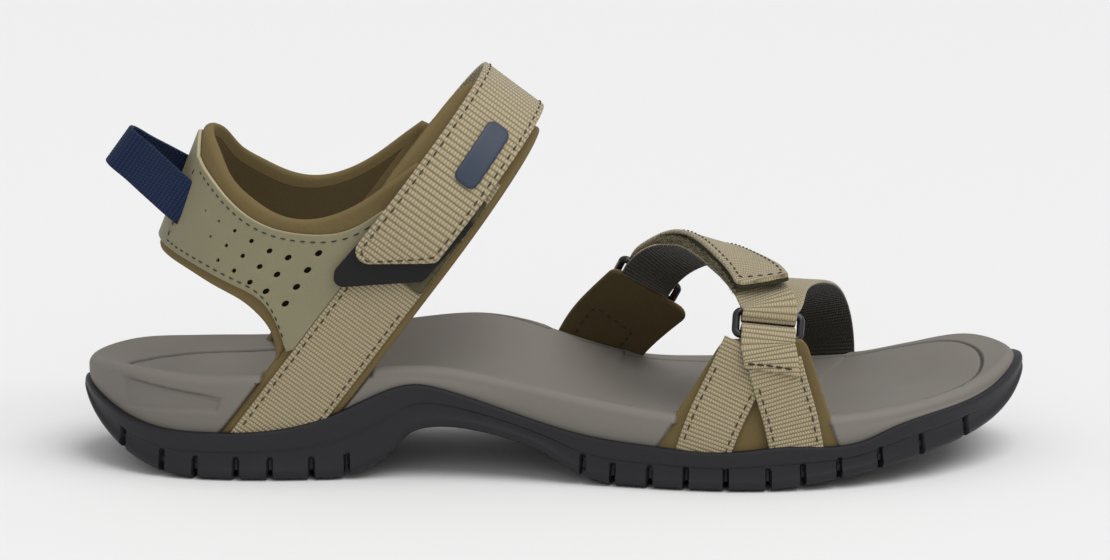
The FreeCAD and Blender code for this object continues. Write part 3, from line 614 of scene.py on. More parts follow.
# Outsole: lip, side wall and tread in one skin, cut by sipes.
edge = outline(0.0, 0.36)
n_edge = len(edge)
tangent = np.roll(edge, -1, 0) - np.roll(edge, 1, 0)
out_dir = np.stack([tangent[:, 1], -tangent[:, 0]], 1)
out_dir /= np.linalg.norm(out_dir, axis=1, keepdims=True)
spine = towards_spine(edge)
ex = edge[:, 0]
z_top, z_low = RUBBER_TOP(ex), UNDERSIDE(ex)
tall = z_top - z_low
sipe = np.zeros(n_edge)
for sx in SIPES:
    sipe = np.maximum(sipe, ripple(ex, sx, 0.45, 0.35))
rows = []
rows.append((3.2, z_top - 2.0, 0))
rows.append((2.3, z_top - 0.1, 0))
rows.append((0.9, z_top + 0.1, 0))
rows.append((0.25, z_top - 0.15, 0))
rows.append((0.0, z_top - 0.7, 0))
for k in range(1, 23):
    t = k / 23
    z = z_top - 0.7 - (tall - 0.7 - 2.2) * t
    step_in = 0.5 * np.clip((t - 0.42) / 0.04, 0, 1) - 0.7 * np.clip((t - 0.55) / 0.45, 0, 1)**2
    rows.append((step_in, z, 1.5 * np.clip((z_low + 6.5 - z) / 1.0, 0, 1)))
for g in range(1, 7):
    turn = math.pi / 2 * g / 6
    rows.append((-0.2 + 2.2 * (1 - math.cos(turn)), z_low + 2.2 * (1 - math.sin(turn)), 1.5))
verts = []
for inset, z, cut in rows:
    inset = np.broadcast_to(inset, n_edge) + sipe * cut
    p = edge - out_dir * inset[:, None]
    z = np.broadcast_to(z, n_edge) + 0.0
    if np.max(cut) > 0:
        z = np.where(z < z_low + 2.4, z + sipe * 2.6, z)
    verts.append(np.column_stack([p, z]))
for q in np.linspace(0.06, 1.0, 40):
    p = (edge - out_dir * 2.0) * (1 - q) + spine * q
    z = UNDERSIDE(p[:, 0])
    cut = np.zeros(n_edge)
    for sx in SIPES:
        cut = np.maximum(cut, ripple(p[:, 0], sx, 0.5, 0.4))
    groove = ripple(np.abs(p[:, 1] - spine[:, 1]), 0.0, 1.2, 0.8) * ((p[:, 0] > 10) | (p[:, 0] < -52))
    verts.append(np.column_stack([p, z + 3.0 * np.maximum(cut, groove)]))
make_mesh("outsole_rubber", np.vstack(verts), grid_faces(len(verts), n_edge, True), RUBBER, "sandal",
                    None, 35, ("outsole",))

# Foam: side wall, rounded rim and dished footbed in one skin, with engraved lines; the lines and the heel
# recess crease are also painted darker as shade.
LINES = [[(-97, -20), (-113, -9), (-117, 0), (-113, 9), (-100, 20), (-78, 24), (-50, 26), (-22, 27), (8, 30)],
         [(-97, -20), (-78, -23), (-52, -24), (-30, -24)],
         [(8, -31), (22, -34.5), (38, -36.5), (58, -37), (82, -34), (100, -27), (113, -14), (117.5, 3),
          (115, 18),
          (106, 29), (94, 35.5), (76, 38), (52, 37.5), (28, 36), (8, 30)],
         [(-30, -24), (-10, -26), (8, -31)]]
edge = outline(2.0, 0.45)
n_edge = len(edge)
tangent = np.roll(edge, -1, 0) - np.roll(edge, 1, 0)
out_dir = np.stack([tangent[:, 1], -tangent[:, 0]], 1)
out_dir /= np.linalg.norm(out_dir, axis=1, keepdims=True)
spine = towards_spine(edge)
ex, ey = edge[:, 0], edge[:, 1]
# How far each rim point counts as medial (1) or lateral (-1); both ends of the sole are shared evenly.
side_share = np.sin(np.clip(ey / 16, -1, 1) * math.pi / 2)
rim_z = ((smooth(ex, RIM_LATERAL) + smooth(ex, RIM_MEDIAL)) / 2
         + (smooth(ex, RIM_MEDIAL) - smooth(ex, RIM_LATERAL)) / 2 * side_share)
foot_z = RUBBER_TOP(ex) - 1.5
ROUND = 2.6
def strap_recess(x, z, lateral_side):
    """How far the foam steps in behind the ankle strap and the forefoot straps' backing."""
    across = (x - BASE[0]) * 0.8 - (z - BASE[2]) * 0.6
    ankle = 3.4 * np.clip((np.where(lateral_side, 11.8, 10.4) - np.abs(across)) / 0.8, 0, 1)
    t = np.clip((z - 9.5) / 31.5, 0, 1)
    fan = 2.6 * np.clip(np.minimum(x - (25.9 + 19.2 * t), 76.7 - 9.8 * t - x) / 1.0, 0, 1)
    medial_pad = 2.4 * np.clip(np.minimum(x + 3.0, 19.0 - x) / 1.0, 0, 1)
    toe_pad = 2.0 * np.clip(np.minimum(x - 71.0, 83.6 - x) / 1.0, 0, 1)
    return np.maximum(ankle, np.where(lateral_side, fan, np.maximum(medial_pad, toe_pad)))


BASE = np.array([-75.6, 0, 13.3])
rows = []
groove_rows = []
wall = rim_z - ROUND - foot_z
on_lateral = ey < 0
for k in range(40):
    t = k / 40
    z = foot_z + wall * t
    bulge = 0.5 * np.sin(math.pi * t) + 0.9 * np.clip((ex + 60) / -30, 0, 1) * np.clip(t, 0, 1)**2
    u = (ex + 118) / 28.0
    top_line = 26.0 - 3.6 * u
    low_line = 17.4 + 1.0 * u
    d_in = np.minimum(np.minimum(z - low_line, top_line - z),
                      np.minimum(ex + 116.5, -88.8 - ex - (24 - z) * 0.35))
    recess = 0.8 * np.clip(d_in / 0.8, 0, 1) * on_lateral
    # A crease along the recess's top line: sunk 0.45 and, through the UV, painted darker as shade.
    crease = np.clip(1 - np.abs(z - top_line - 0.1) / 0.55, 0, 1) * np.clip((ex + 117) / 4, 0, 1)
    crease = crease * np.clip((-88 - ex) / 8, 0, 1) * on_lateral
    recess = recess + 0.45 * crease
    p = edge + out_dir * (bulge - recess - strap_recess(ex, z, on_lateral))[:, None]
    rows.append(np.column_stack([p, z]))
    groove_rows.append(0.8 * crease)
flare = 0.9 * np.clip((ex + 60) / -30, 0, 1)
step_back = strap_recess(ex, rim_z - 1.0, on_lateral)
for g in range(1, 8):
    turn = math.pi / 2 * g / 8
    p = edge + out_dir * (flare - ROUND * (1 - math.cos(turn)) - step_back)[:, None]
    rows.append(np.column_stack([p, rim_z - ROUND + ROUND * math.sin(turn)]))
    groove_rows.append(np.zeros(n_edge))
start = edge + out_dir * (flare - ROUND - step_back)[:, None]
reach = np.linalg.norm(start - spine, axis=1)
for q in np.concatenate([np.linspace(0.0, 0.45, 60), np.linspace(0.458, 1.0, 60)]):
    p = start * (1 - q) + spine * q
    lateral_z, medial_z = smooth(p[:, 0], RIM_LATERAL), smooth(p[:, 0], RIM_MEDIAL)
    middle = (lateral_z + medial_z) / 2
    own = middle + (medial_z - lateral_z) / 2 * side_share
    keep_own = np.clip(1.25 - q * 1.25, 0, 1)
    hold = rim_z * (1 - q)**2 + (own * keep_own + middle * (1 - keep_own)) * (1 - (1 - q)**2)
    z = hold - smooth(p[:, 0], DISH_FULL) * (1 - (1 - q)**2)**0.9
    # The engraved lines are sunk 0.8 and, through the UV, painted darker as shade.
    groove = np.zeros(n_edge)
    for line in LINES:
        d = edge_distance(p, dense(line, 1.0), closed=False)
        groove = np.maximum(groove, np.clip((0.62 - d) / 0.45, 0, 1))
    rows.append(np.column_stack([p, z - 0.8 * groove]))
    groove_rows.append(groove)
shade = np.concatenate(groove_rows)
make_mesh("foam_sole", np.vstack(rows), grid_faces(len(rows), n_edge, True), EVA, "sandal",
                     np.column_stack([shade, shade * 0]), 60,
                     ("midsole", "footbed", "shank", "heel_cushion"))

# ---------------------------------------------------------------- ankle arch surface
LEAN = np.array([0.6, 0, 0.8])
SIDEWAYS = np.array([0.8, 0, -0.6])
SPRING = 62.0
HALF = 29.5
theta = np.linspace(math.pi / 2, -math.pi / 2, 181)
arch_y = np.concatenate([[-HALF], -HALF * np.sin(theta), [HALF]])
arch_u = np.concatenate([[-20.0], SPRING + 39.4 * np.cos(theta), [-20.0]])
arch_s = np.concatenate([[0], np.cumsum(np.hypot(np.diff(arch_y), np.diff(arch_u)))])
arch_s -= arch_s[-1] / 2
arch_dy, arch_du = np.gradient(arch_y, arch_s), np.gradient(arch_u, arch_s)
arch_dy[:2] = arch_dy[-2:] = 0.0
arch_du[:2], arch_du[-2:] = 1.0, -1.0
LEG_TOP = -arch_s[1]


def arch(s, w, h):
    """Point on the ankle strap: s along from the crest (lateral negative), w forwards, h outwards."""
    s, w, h = np.broadcast_arrays(np.asarray(s, float), np.asarray(w, float), np.asarray(h, float))
    y, u = np.interp(s, arch_s, arch_y), np.interp(s, arch_s, arch_u)
    dy, du = np.interp(s, arch_s, arch_dy), np.interp(s, arch_s, arch_du)
    norm = np.hypot(dy, du)
    y = y - du / norm * h
    u = u + dy / norm * h
    tuck = np.clip((26 - u) / 24, 0, 1)
    y = y - np.sign(y) * np.where(y < 0, 0.9, 2.6) * tuck * tuck * (3 - 2 * tuck)
    return BASE + y[:, None] * np.array([0, 1, 0]) + u[:, None] * LEAN + w[:, None] * SIDEWAYS


def leg(u):
    """Distance from the crest of a point on the straight leg at rise u (negative on the lateral side)."""
    return -(LEG_TOP + SPRING - u)


def fuzzy(amount, seed):
    rng = np.random.default_rng(seed)

    def lift(v2, d):
        return rng.normal(0, amount, len(v2))
    return lift


# Layers of the ankle strap, as heights off the arch: pad, fixed webbing, pile, hooks, closure, badge.
PAD = (0.2, 3.5)
WEB = (3.55, 5.0)
PILE_LAYER = (5.05, 6.1)
HOOK_LAYER = (6.3, 7.0)
CLOSURE = (7.1, 8.6)
BADGE_LAYER = (8.55, 9.5)
THREAD_PROUD = 0.06

# Pads: padded suede behind the webbing, a little wider than it.
FOOT_REAR, FOOT_FRONT = leg(-9), leg(6)
pad_rear = dense([(-1.0, -11.4), (-12.0, -14.4), (-30.0, -16.0), (-46.0, -16.3), (LEG_TOP * -1 - 6, -13.8),
                  (leg(42), -12.6), (leg(20), -11.6), (leg(-11), -11.4)], 0.6)
pad_front = straight([(leg(8), 11.4), (-1.0, 11.4)], 0.6)
lateral_pad_shape = np.vstack([pad_rear, pad_front])
sheet("lateral_pad_suede", lateral_pad_shape, arch, *PAD, "sandal", OLIVE, 1.3, 1.6, 0.0,
      replaces=("lateral_ankle_pad",), slot="suede_lining")
medial_pad_shape = rounded([(29.0, -11.4), (-leg(-11), -11.2), (-leg(8), 11.2), (29.0, 11.4)],
                           [2, 0.1, 0.1, 2], 0.6)
sheet("medial_pad_suede", medial_pad_shape, arch, *PAD, "sandal", OLIVE, 1.3, 1.6, 0.0,
      replaces=("medial_ankle_pad",), slot="suede_lining")

low_shape = rounded([(FOOT_REAR, -9.2), (-28.0, -9.2), (-28.0, 9.2), (FOOT_FRONT, 9.2)], 0.1, 0.6)
sheet("lateral_ankle_web", low_shape, arch, *WEB, "sandal", KHAKI, 1.3, 0.5, 0.15,
      replaces=("lateral_ankle_webbing",), slot="khaki_webbing")
sheet("medial_ankle_web", rounded([(-leg(58), -9.2), (-FOOT_REAR, -9.2), (-FOOT_FRONT, 9.2),
                                   (-leg(58), 9.2)], 0.1, 0.6), arch,
      *WEB, "sandal", KHAKI, 1.3, 0.5, 0.15, replaces=("medial_ankle_webbing",), slot="khaki_webbing")
for side in (-1, 1):
    for w in (-7.8, 7.8):
        start, end = leg(-4.0 if w < 0 else 9.0), leg(49 if side < 0 else 57)
        stitches(f"ankle_web_stitch_{'l' if side < 0 else 'm'}_{'a' if w < 0 else 'b'}",
                 straight([(-side * start, w), (-side * end, w)], 1.0), arch, WEB[1] + THREAD_PROUD,
                 "sandal", THREAD_KHAKI)
sheet("ankle_loop_pile", rounded([(leg(54), -9.0), (-34.0, -9.0), (-34.0, 9.0), (leg(54), 9.0)], 1.0, 0.5),
      arch,
      *PILE_LAYER, "sandal", PILE, 0.8, 0.4, 0.4, lift=fuzzy(0.14, 1), replaces=("ankle_loop_tape",),
      slot="pile_tape")
hook_end = [(leg(41.7), -11.3), (leg(46), -13.6), (-40.0, -11.6), (-40.0, 9.0), (leg(57.5), 7.0)]
sheet("ankle_hook_panel", rounded(hook_end, [2.5, 3.0, 0.5, 0.5, 1.5], 0.5), arch, *HOOK_LAYER, "ankle_flap",
      TAB, 1.2, 0.35,
      0.3, replaces=("ankle_hook_tape",), slot="hook_tape")
closure_top = -leg(61)
closure_shape = rounded([(leg(48.6), -13.2), (closure_top, -10.2), (closure_top, 10.2), (leg(63.9), 6.9)],
                        [3.5, 0.3, 0.3, 1.5], 0.6)
sheet("ankle_closure_web", closure_shape, arch, *CLOSURE, "ankle_flap", KHAKI_WIDE, 1.2, 0.55, 0.15,
      replaces=("ankle_closure_strap",), slot="khaki_webbing")
run_in = rounded([(leg(50.4), -11.5), (closure_top - 1, -8.6), (closure_top - 1, 8.6), (leg(64.6), 5.4)],
                 [2.6, 0.3, 0.3, 1.2], 0.8)
stitches("ankle_closure_stitch", run_in, arch, CLOSURE[1] + THREAD_PROUD, "ankle_flap", THREAD_KHAKI,
         closed=True)
sheet("blank_badge", rounded([(-34.6, -3.5), (-17.6, -3.5), (-17.6, 3.5), (-34.6, 3.5)], 2.2, 0.4), arch,
      *BADGE_LAYER,
      "ankle_flap", BADGE, 0.8, 0.7, 0.2, replaces=("strap_badge",), slot="badge_rubber")

# ---------------------------------------------------------------- heel wall surface
WALL_R = 33.0
ARC = WALL_R * math.pi / 2
LEAN_X = 0.398


def wall_centre(z):
    return -74.6 + LEAN_X * (np.asarray(z, float) - 60)


def wall(a, z, h):
    """Point on the heel wall: a round from the centre back (lateral negative), z up, h outwards."""
    a, z, h = np.broadcast_arrays(np.asarray(a, float), np.asarray(z, float), np.asarray(h, float))
    turn = np.clip(a, -ARC, ARC) / WALL_R
    ahead = np.maximum(np.abs(a) - ARC, 0.0)
    x = wall_centre(z) - (WALL_R + h) * np.cos(turn) + ahead
    y = (WALL_R + h) * np.sin(turn)
    return np.column_stack([x, y, z])


def to_wall(points, side=-1, radius=WALL_R):
    """(X, Z) points of a side view to (a, z) on the wall."""
    p = np.array(points, float)
    d = wall_centre(p[:, 1]) - p[:, 0]
    a = np.where(d > 0, WALL_R * np.arccos(np.clip(d / radius, -1, 1)), ARC - d)
    return np.column_stack([side * a, p[:, 1]])


COLLAR_BOTTOM = [(-108.9, 58.2), (-106.4, 57.6), (-98.3, 55.2), (-91.2, 52.1), (-84.4, 48.9), (-79.6, 45.0),
                 (-76.5, 40.7), (-75.2, 36.3), (-75.6, 31.0), (-78.0, 26.0)]
COLLAR_TOP = [(-95.6, 91.6), (-92.1, 87.3), (-87.6, 80.8), (-81.5, 76.3), (-73.5, 72.3), (-65.5, 71.2),
              (-57.5, 73.1), (-49.5, 77.4), (-42.5, 82.6), (-37.0, 86.6)]
COLLAR_FRONT = [(-34.0, 85.2), (-41.0, 76.0), (-52.0, 61.5), (-64.0, 47.0), (-74.0, 33.5), (-77.0, 26.5)]


def ring_outline(bottom, front, top, step=0.7):
    """Closed outline right round the heel from the lateral side's profile, mirrored to the medial side."""
    low, up, high = dense(to_wall(bottom), step), dense(to_wall(front), step), dense(to_wall(top), step)
    low[0, 0] = high[0, 0] = 0.0
    half = np.vstack([low,
                      up[::-1] if np.linalg.norm(up[0] - low[-1]) > np.linalg.norm(up[-1] - low[-1]) else up,
                      high[::-1]])
    keep = np.concatenate([[True], np.linalg.norm(np.diff(half, axis=0), axis=1) > 0.15])
    half = half[keep]
    other = half[1:-1][::-1] * np.array([-1, 1])
    other[:, 0] += np.clip((47 - other[:, 1]) / 16, 0, 1) * 3.5
    return np.vstack([half, other])


collar_shape = ring_outline(COLLAR_BOTTOM, COLLAR_FRONT, COLLAR_TOP)
# The collar's inside face, below its seam, is painted darker as shade.
sheet("collar_suede", collar_shape, wall, -2.9, 0.0, "sandal", OLIVE_SHADED_INSIDE, 1.3, 1.4, 0.0,
      replaces=("collar_lining",), slot="suede_lining")

QUARTER_BOTTOM = [(-108.6, 61.4), (-103.9, 60.4), (-95.3, 57.4), (-87.1, 53.9), (-80.3, 50.5), (-76.3, 46.1),
                  (-73.7, 40.1), (-72.2, 35.4)]
QUARTER_TOP = [(-97.6, 89.6), (-94.8, 83.6), (-92, 80.6), (-84.1, 73.4), (-76.1, 69.3), (-65.4, 67.4),
               (-54.7, 68.8), (-46.0, 74.0)]
QUARTER_FRONT = [(-43.6, 71.4), (-52.0, 60.2), (-62.0, 46.9), (-70.2, 36.0)]
# Columns of holes from the front to the back of each quarter: the top hole's distance round the wall from the
# centre back and its height, the step down to the next hole, how many holes, and their diameter.
PERFORATIONS = [((62.3, 62.4), (-1.18, -4.6), 4, 1.9), ((54.6, 61.2), (-1.18, -4.6), 3, 1.75),
                ((49.0, 63.0), (-0.96, -4.3), 3, 1.55), ((43.2, 65.5), (-0.78, -4.1), 3, 1.35),
                ((37.5, 67.9), (-0.74, -4.1), 3, 1.15), ((31.7, 69.9), (-0.73, -4.3), 2, 0.95),
                ((25.9, 72.0), (0.0, 0.0), 1, 0.8)]


def perforation_centres():
    """(distance from the centre back, height) and diameter of every hole in one quarter."""
    return [(np.array(top) + np.array(step) * k, size)
            for top, step, count, size in PERFORATIONS for k in range(count)]


def circle(centre, radius, n=14):
    g = np.linspace(0, 2 * math.pi, n, endpoint=False)
    return np.column_stack([centre[0] + radius * np.cos(g), centre[1] + radius * np.sin(g)])


def perforation_shadow_discs():
    """Dark discs of painted shadow lying in the bottoms of the perforations."""
    verts, faces = [], []
    for side in (-1, 1):
        for c, size in perforation_centres():
            c = c * np.array([side, 1])
            rim = circle(c, size / 2 + 0.12)
            first = len(verts)
            verts += list(wall(rim[:, 0], rim[:, 1], np.full(len(rim), 0.04)))
            face = list(range(first, first + len(rim)))
            faces.append(tuple(face) if side < 0 else tuple(face[::-1]))
    return make_mesh("perforation_painted_shadows", np.array(verts), faces, HOLE_SHADOW, "sandal", None, 0)


quarter_half = ring_outline(QUARTER_BOTTOM, QUARTER_FRONT, QUARTER_TOP)
SEAM = 12.0


def clip_side(shape, low, high):
    """The part of an outline whose a lies between low and high."""
    shape = shape.copy()
    keep = (shape[:, 0] >= low - 1e-6) & (shape[:, 0] <= high + 1e-6)
    return shape[keep]


holes = perforation_centres()
for side, label, node in ((-1, "lateral", "lateral_quarter"), (1, "medial", "medial_quarter")):
    reach = sorted((side * SEAM, side * 200))
    part = clip_side(quarter_half, *reach)
    # Start the outline just after its one long gap, the seam, so that the joined loop runs round it evenly.
    first = np.argmax(np.linalg.norm(np.diff(np.vstack([part, part[:1]]), axis=0), axis=1))
    part = np.roll(part, -(first + 1), 0)
    part = straight(part, 0.7, closed=True)
    rims = [circle(c * np.array([side, 1]), size / 2) for c, size in holes]
    sheet(f"{label}_quarter_leather", part, wall, 0.05, 1.3, "sandal", SAGE, 1.3, 0.35, 0.6, holes=rims,
          rim=CUT_EDGE, replaces=(node,), slot="sage_leather")
back = rounded([(-SEAM - 0.6, 60.9), (SEAM + 0.6, 60.9), (SEAM + 0.6, 88.4), (-SEAM - 0.6, 88.4)], 0.1, 0.7)
back[:, 1] = np.where(back[:, 1] > 75, 89.6 - 0.035 * back[:, 0]**2, 61.4 - 0.004 * back[:, 0]**2) \
    * (np.abs(back[:, 1] - 74.6) > 13.0) + back[:, 1] * (np.abs(back[:, 1] - 74.6) <= 13.0)
sheet("heel_back_leather", back, wall, 0.05, 1.35, "sandal", SAGE, 1.3, 0.35, 0.6, rim=CUT_EDGE,
      replaces=("heel_back_panel",), slot="sage_leather")
perforation_shadow_discs()
for side, tag in ((-1, "l"), (1, "m")):
    flip = np.array([side * -1, 1])
    top_line = dense(to_wall([(x, z - 1.9) for x, z in QUARTER_TOP[1:]]), 0.8) * flip
    low_line = dense(to_wall([(x - 0.2, z + 1.8) for x, z in QUARTER_BOTTOM[1:]]), 0.8) * flip
    stitches(f"quarter_stitch_top_{tag}", top_line, wall, 1.3, "sandal", THREAD, 1.7, 1.1, 0.22)
    stitches(f"quarter_stitch_low_{tag}", low_line, wall, 1.3, "sandal", THREAD, 1.7, 1.1, 0.22)
    stitches(f"back_seam_stitch_{tag}", straight([(side * (SEAM + 1.6), 62.5), (side * (SEAM + 1.6), 84.0)],
                                                 0.8), wall,
             1.3, "sandal", THREAD, 1.7, 1.1, 0.22)

# ---------------------------------------------------------------- pull loop
LOOP_O = np.array([-101.1, 0, 73.2])
LOOP_OUT = np.array([-0.811, 0, 0.585])
LOOP_W = np.array([0.585, 0, 0.811])


def loop_path():
    right = [(16.6, -2.6), (15.0, 1.5), (12.2, 6.0), (8.6, 11.5), (5.4, 16.6), (3.9, 20.3), (0.0, 22.3)]
    pts = right[:-1] + [(0.0, 22.3)] + [(-x, y) for x, y in right[:-1][::-1]]
    return dense(pts, 0.6)


loop_line = loop_path()
loop_s = np.concatenate([[0], np.cumsum(np.linalg.norm(np.diff(loop_line, axis=0), axis=1))])
loop_t = np.gradient(loop_line, axis=0)
loop_t /= np.linalg.norm(loop_t, axis=1, keepdims=True)


def loop_place(s, w, h):
    s, w, h = np.broadcast_arrays(np.asarray(s, float), np.asarray(w, float), np.asarray(h, float))
    y, p = np.interp(s, loop_s, loop_line[:, 0]), np.interp(s, loop_s, loop_line[:, 1])
    ty, tp = np.interp(s, loop_s, loop_t[:, 0]), np.interp(s, loop_s, loop_t[:, 1])
    y, p = y + tp * h, p - ty * h
    return LOOP_O + y[:, None] * np.array([0, 1, 0]) + p[:, None] * LOOP_OUT + w[:, None] * LOOP_W


loop_obj = sheet("pull_loop_web", rounded([(0, -6), (loop_s[-1], -6), (loop_s[-1], 6), (0, 6)], 0.1, 0.6),
                 loop_place,
                 -1.3, 0.0, None, NAVY, 1.0, 0.5, 0.15, replaces=("heel_pull_loop",), slot="navy_webbing")
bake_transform(loop_obj)


# ---------------------------------------------------------------- forefoot straps
class Frame:
    def __init__(self, centre, along, up):
        self.centre = np.array(centre, float)
        self.along = np.array(along, float) / np.linalg.norm(along)
        up = np.array(up, float)
        up = up - self.along * (up @ self.along)
        self.up = up / np.linalg.norm(up)
        self.out = np.cross(self.along, self.up)
        if self.out[1] * self.centre[1] < 0:
            self.out = -self.out
        self.upper, self.lower = self.centre + self.up * 3.2, self.centre - self.up * 3.2

    def wrap(self, bar, degrees, reach=1.88):
        g = math.radians(degrees)
        away = self.out * math.cos(g) + self.up * math.sin(g)
        return tuple(bar + away * reach), tuple(away)

    def offset(self, bar, out, up, facing):
        return tuple(bar + self.out * out + self.up * up), tuple(self.out * facing)


lateral = Frame((57, -37.5, 43.5), (0.99, 0.05, -0.11), (-0.1, 0.45, 0.88))
medial = Frame((25.8, 27.0, 42.3), (0.88, -0.10, -0.46), (0.45, -0.60, 0.65))


class Strap:
    """A flat strap's surface along a smooth path: place(s, w, h)."""

    def __init__(self, stations):
        pts = np.array([p for p, r in stations], float)
        rise = np.array([np.array(r, float) / np.linalg.norm(r) for p, r in stations])
        at, end = cubic(pts)
        marks = np.concatenate([[0], np.cumsum(np.linalg.norm(np.diff(pts, axis=0), axis=1))])
        fine = np.linspace(0, end, 1500)
        self.p = at(fine)
        r = np.stack([np.interp(fine, marks, rise[:, k]) for k in range(3)], 1)
        self.s = np.concatenate([[0], np.cumsum(np.linalg.norm(np.diff(self.p, axis=0), axis=1))])
        t = np.gradient(self.p, axis=0)
        t /= np.linalg.norm(t, axis=1, keepdims=True)
        a = np.cross(t, r)
        a /= np.linalg.norm(a, axis=1, keepdims=True)
        self.a = a
        self.n = np.cross(a, t)
        self.length = self.s[-1]

    def __call__(self, s, w, h):
        s, w, h = np.broadcast_arrays(np.asarray(s, float), np.asarray(w, float), np.asarray(h, float))
        def at(table):
            return np.stack([np.interp(s, self.s, table[:, k]) for k in range(3)], 1)
        return at(self.p) + at(self.a) * w[:, None] + at(self.n) * h[:, None]


WEB = 7.3


def strap(name, stations, body, material, nodes, slot, width=14.6, low=0.0, high=1.3, start=0.0, end=None,
          corners=0.1, stitch=(), **more):
    surface = Strap(stations)
    end = surface.length if end is None else end
    half = width / 2
    obj = sheet(name, rounded([(start, -half), (end, -half), (end, half), (start, half)], corners, 0.6),
                surface,
                low, high, body, material, more.pop("spacing", 1.1), more.pop("edge_round", 0.5),
                more.pop("edge_keep", 0.15), replaces=nodes, slot=slot, **more)
    for k, (s0, s1) in enumerate(stitch):
        for w in (-half + 1.5, half - 1.5):
            stitches(f"{name}_stitch_{k}_{'a' if w < 0 else 'b'}", straight([(s0, w), (s1, w)], 1.0), surface,
                     high + 0.06, body, THREAD_KHAKI)
    return surface, obj


# Lateral backing: fan-shaped suede panel.
BACK_FEET = [(25.4, 44.6), (41.0, 51.0), (57.0, 58.5), (77.2, 67.4)]


def backing_place(a, b, h):
    a, b, h = np.broadcast_arrays(np.asarray(a, float), np.asarray(b, float), np.asarray(h, float))
    xs = np.array([0, 1 / 3, 2 / 3, 1.0])
    fx = np.interp(a, xs, [f[0] for f in BACK_FEET])
    fy = -41.7 - 3.4 * np.sin(np.clip(a, 0, 1) * math.pi)
    hx = np.interp(a, xs, [f[1] for f in BACK_FEET])
    t = b / 30.0
    x = fx + (hx - fx) * t
    y = fy + (-40.6 - fy) * t
    z = 9.5 + 31.5 * t
    return np.column_stack([x, y - h * 0.98, z + 0.2 * h])


def backing_mm(a, b, h):
    return backing_place(np.asarray(a) / 46.0, b, h)


backing_shape = rounded([(0, 0), (46, 0), (45, 29.5), (1.5, 29.5)], [0.1, 0.1, 3.0, 3.0], 0.8)
sheet("lateral_backing_suede", backing_shape, backing_mm, -1.8, 0.0, "sandal", OLIVE, 1.2, 0.7, 0.0,
      replaces=("lateral_forefoot_backing",), slot="suede_lining")
rear_run = [((39.0, -44.1, 8.0), (-0.17, -1, 0.1)), ((42.4, -43.9, 18.0), (-0.12, -1, 0.12)),
            ((46.6, -42.9, 27.0), (-0.05, -1, 0.2)), ((52.0, -41.2, 38.5), (0, -1, 0.2))]
strap("lateral_rear_web", rear_run, "sandal", KHAKI, ("lateral_rear_webbing",), "khaki_webbing",
      stitch=((3.5, 27.0),))
front_run = [((65.0, -44.2, 8.0), (0.15, -1, 0.1)), ((62.6, -44.1, 20.0), (0.1, -1, 0.12)),
             ((60.3, -43.9, 28.0), (0.05, -1, 0.15)), ((57.9, -42.9, 37.0), (0.02, -0.95, 0.3))]
strap("lateral_front_web", front_run, "sandal", KHAKI, ("lateral_front_webbing",), "khaki_webbing",
      stitch=((3.5, 22.0),), end=27.5)
loop_run = [((57.7, -44.9, 31.0), (0.02, -0.97, 0.25)), ((57.3, -43.2, 36.4), (0.05, -0.93, 0.35)),
            lateral.offset(lateral.lower, 1.8, -2.6, 1)]
loop_run += [lateral.wrap(lateral.lower, g) for g in (0, 45, 90, 135, 180)]
loop_run += [lateral.offset(lateral.lower, -1.75, -5.0, -1)]
bight = Strap(loop_run)
sheet("lateral_loop_web", rounded([(2.6, -7.3), (bight.length, -7.3), (bight.length, 7.3), (0.0, 7.3)],
                                  [0.5, 0.1, 0.1, 0.5], 0.5), bight, 0.0, 1.3, "sandal", KHAKI, 1.0, 0.5,
                                  0.15,
      replaces=("lateral_front_webbing",), slot="khaki_webbing")
stitches("lateral_loop_tack", straight([(4.0, -6.6), (1.6, 6.6)], 1.0), bight, 1.36, "sandal", THREAD, 2.0,
         0.5, 0.3)

# Medial side.
medial_back_run = [((7.5, 38.4, 9.0), (0, -1, 0)), ((12.6, 38.6, 22.0), (0, -1, -0.1)),
                   ((19.4, 33.4, 31.6), (-0.25, -0.85, -0.45)), ((28.2, 23.6, 41.8), (-0.33, -0.78, -0.49))]
panel = Strap(medial_back_run)
# The medial backing's upper face takes the darker olive copy as painted shade; its other face is plain olive.
sheet("medial_backing_suede", rounded([(0, -12), (panel.length - 4.2, -12), (panel.length, 13), (0, 12)],
                                      [0.1, 3, 3.5, 0.1],
                                      0.6), panel, 0.0, 1.7, "sandal", OLIVE_PAINTED_SHADE, 1.2, 0.7, 0.0, under=OLIVE,
      replaces=("medial_forefoot_backing",), slot="suede_lining")
stitches("medial_panel_stitch", rounded([(6, -7.5), (24, -7.5), (24, 5.5), (6, 5.5)], 1.5, 0.8), panel, 1.72,
         "sandal",
         THREAD, closed=True)
medial_run = [((8.0, 38.7, 9.5), (0, 1, 0)), ((12.4, 39.1, 22.0), (0, 1, 0.1)),
              ((18.2, 36.4, 32.2), (0.2, 0.9, 0.4)),
              medial.offset(medial.lower, 1.8, -3.5, 1)]
medial_run += [medial.wrap(medial.lower, g) for g in (0, 45, 90, 135, 180)]
medial_run += [medial.offset(medial.lower, -1.75, -4.5, -1)]
strap("medial_front_web", medial_run, "sandal", KHAKI, ("medial_front_webbing",), "khaki_webbing",
      stitch=((3.5, 24.0),))

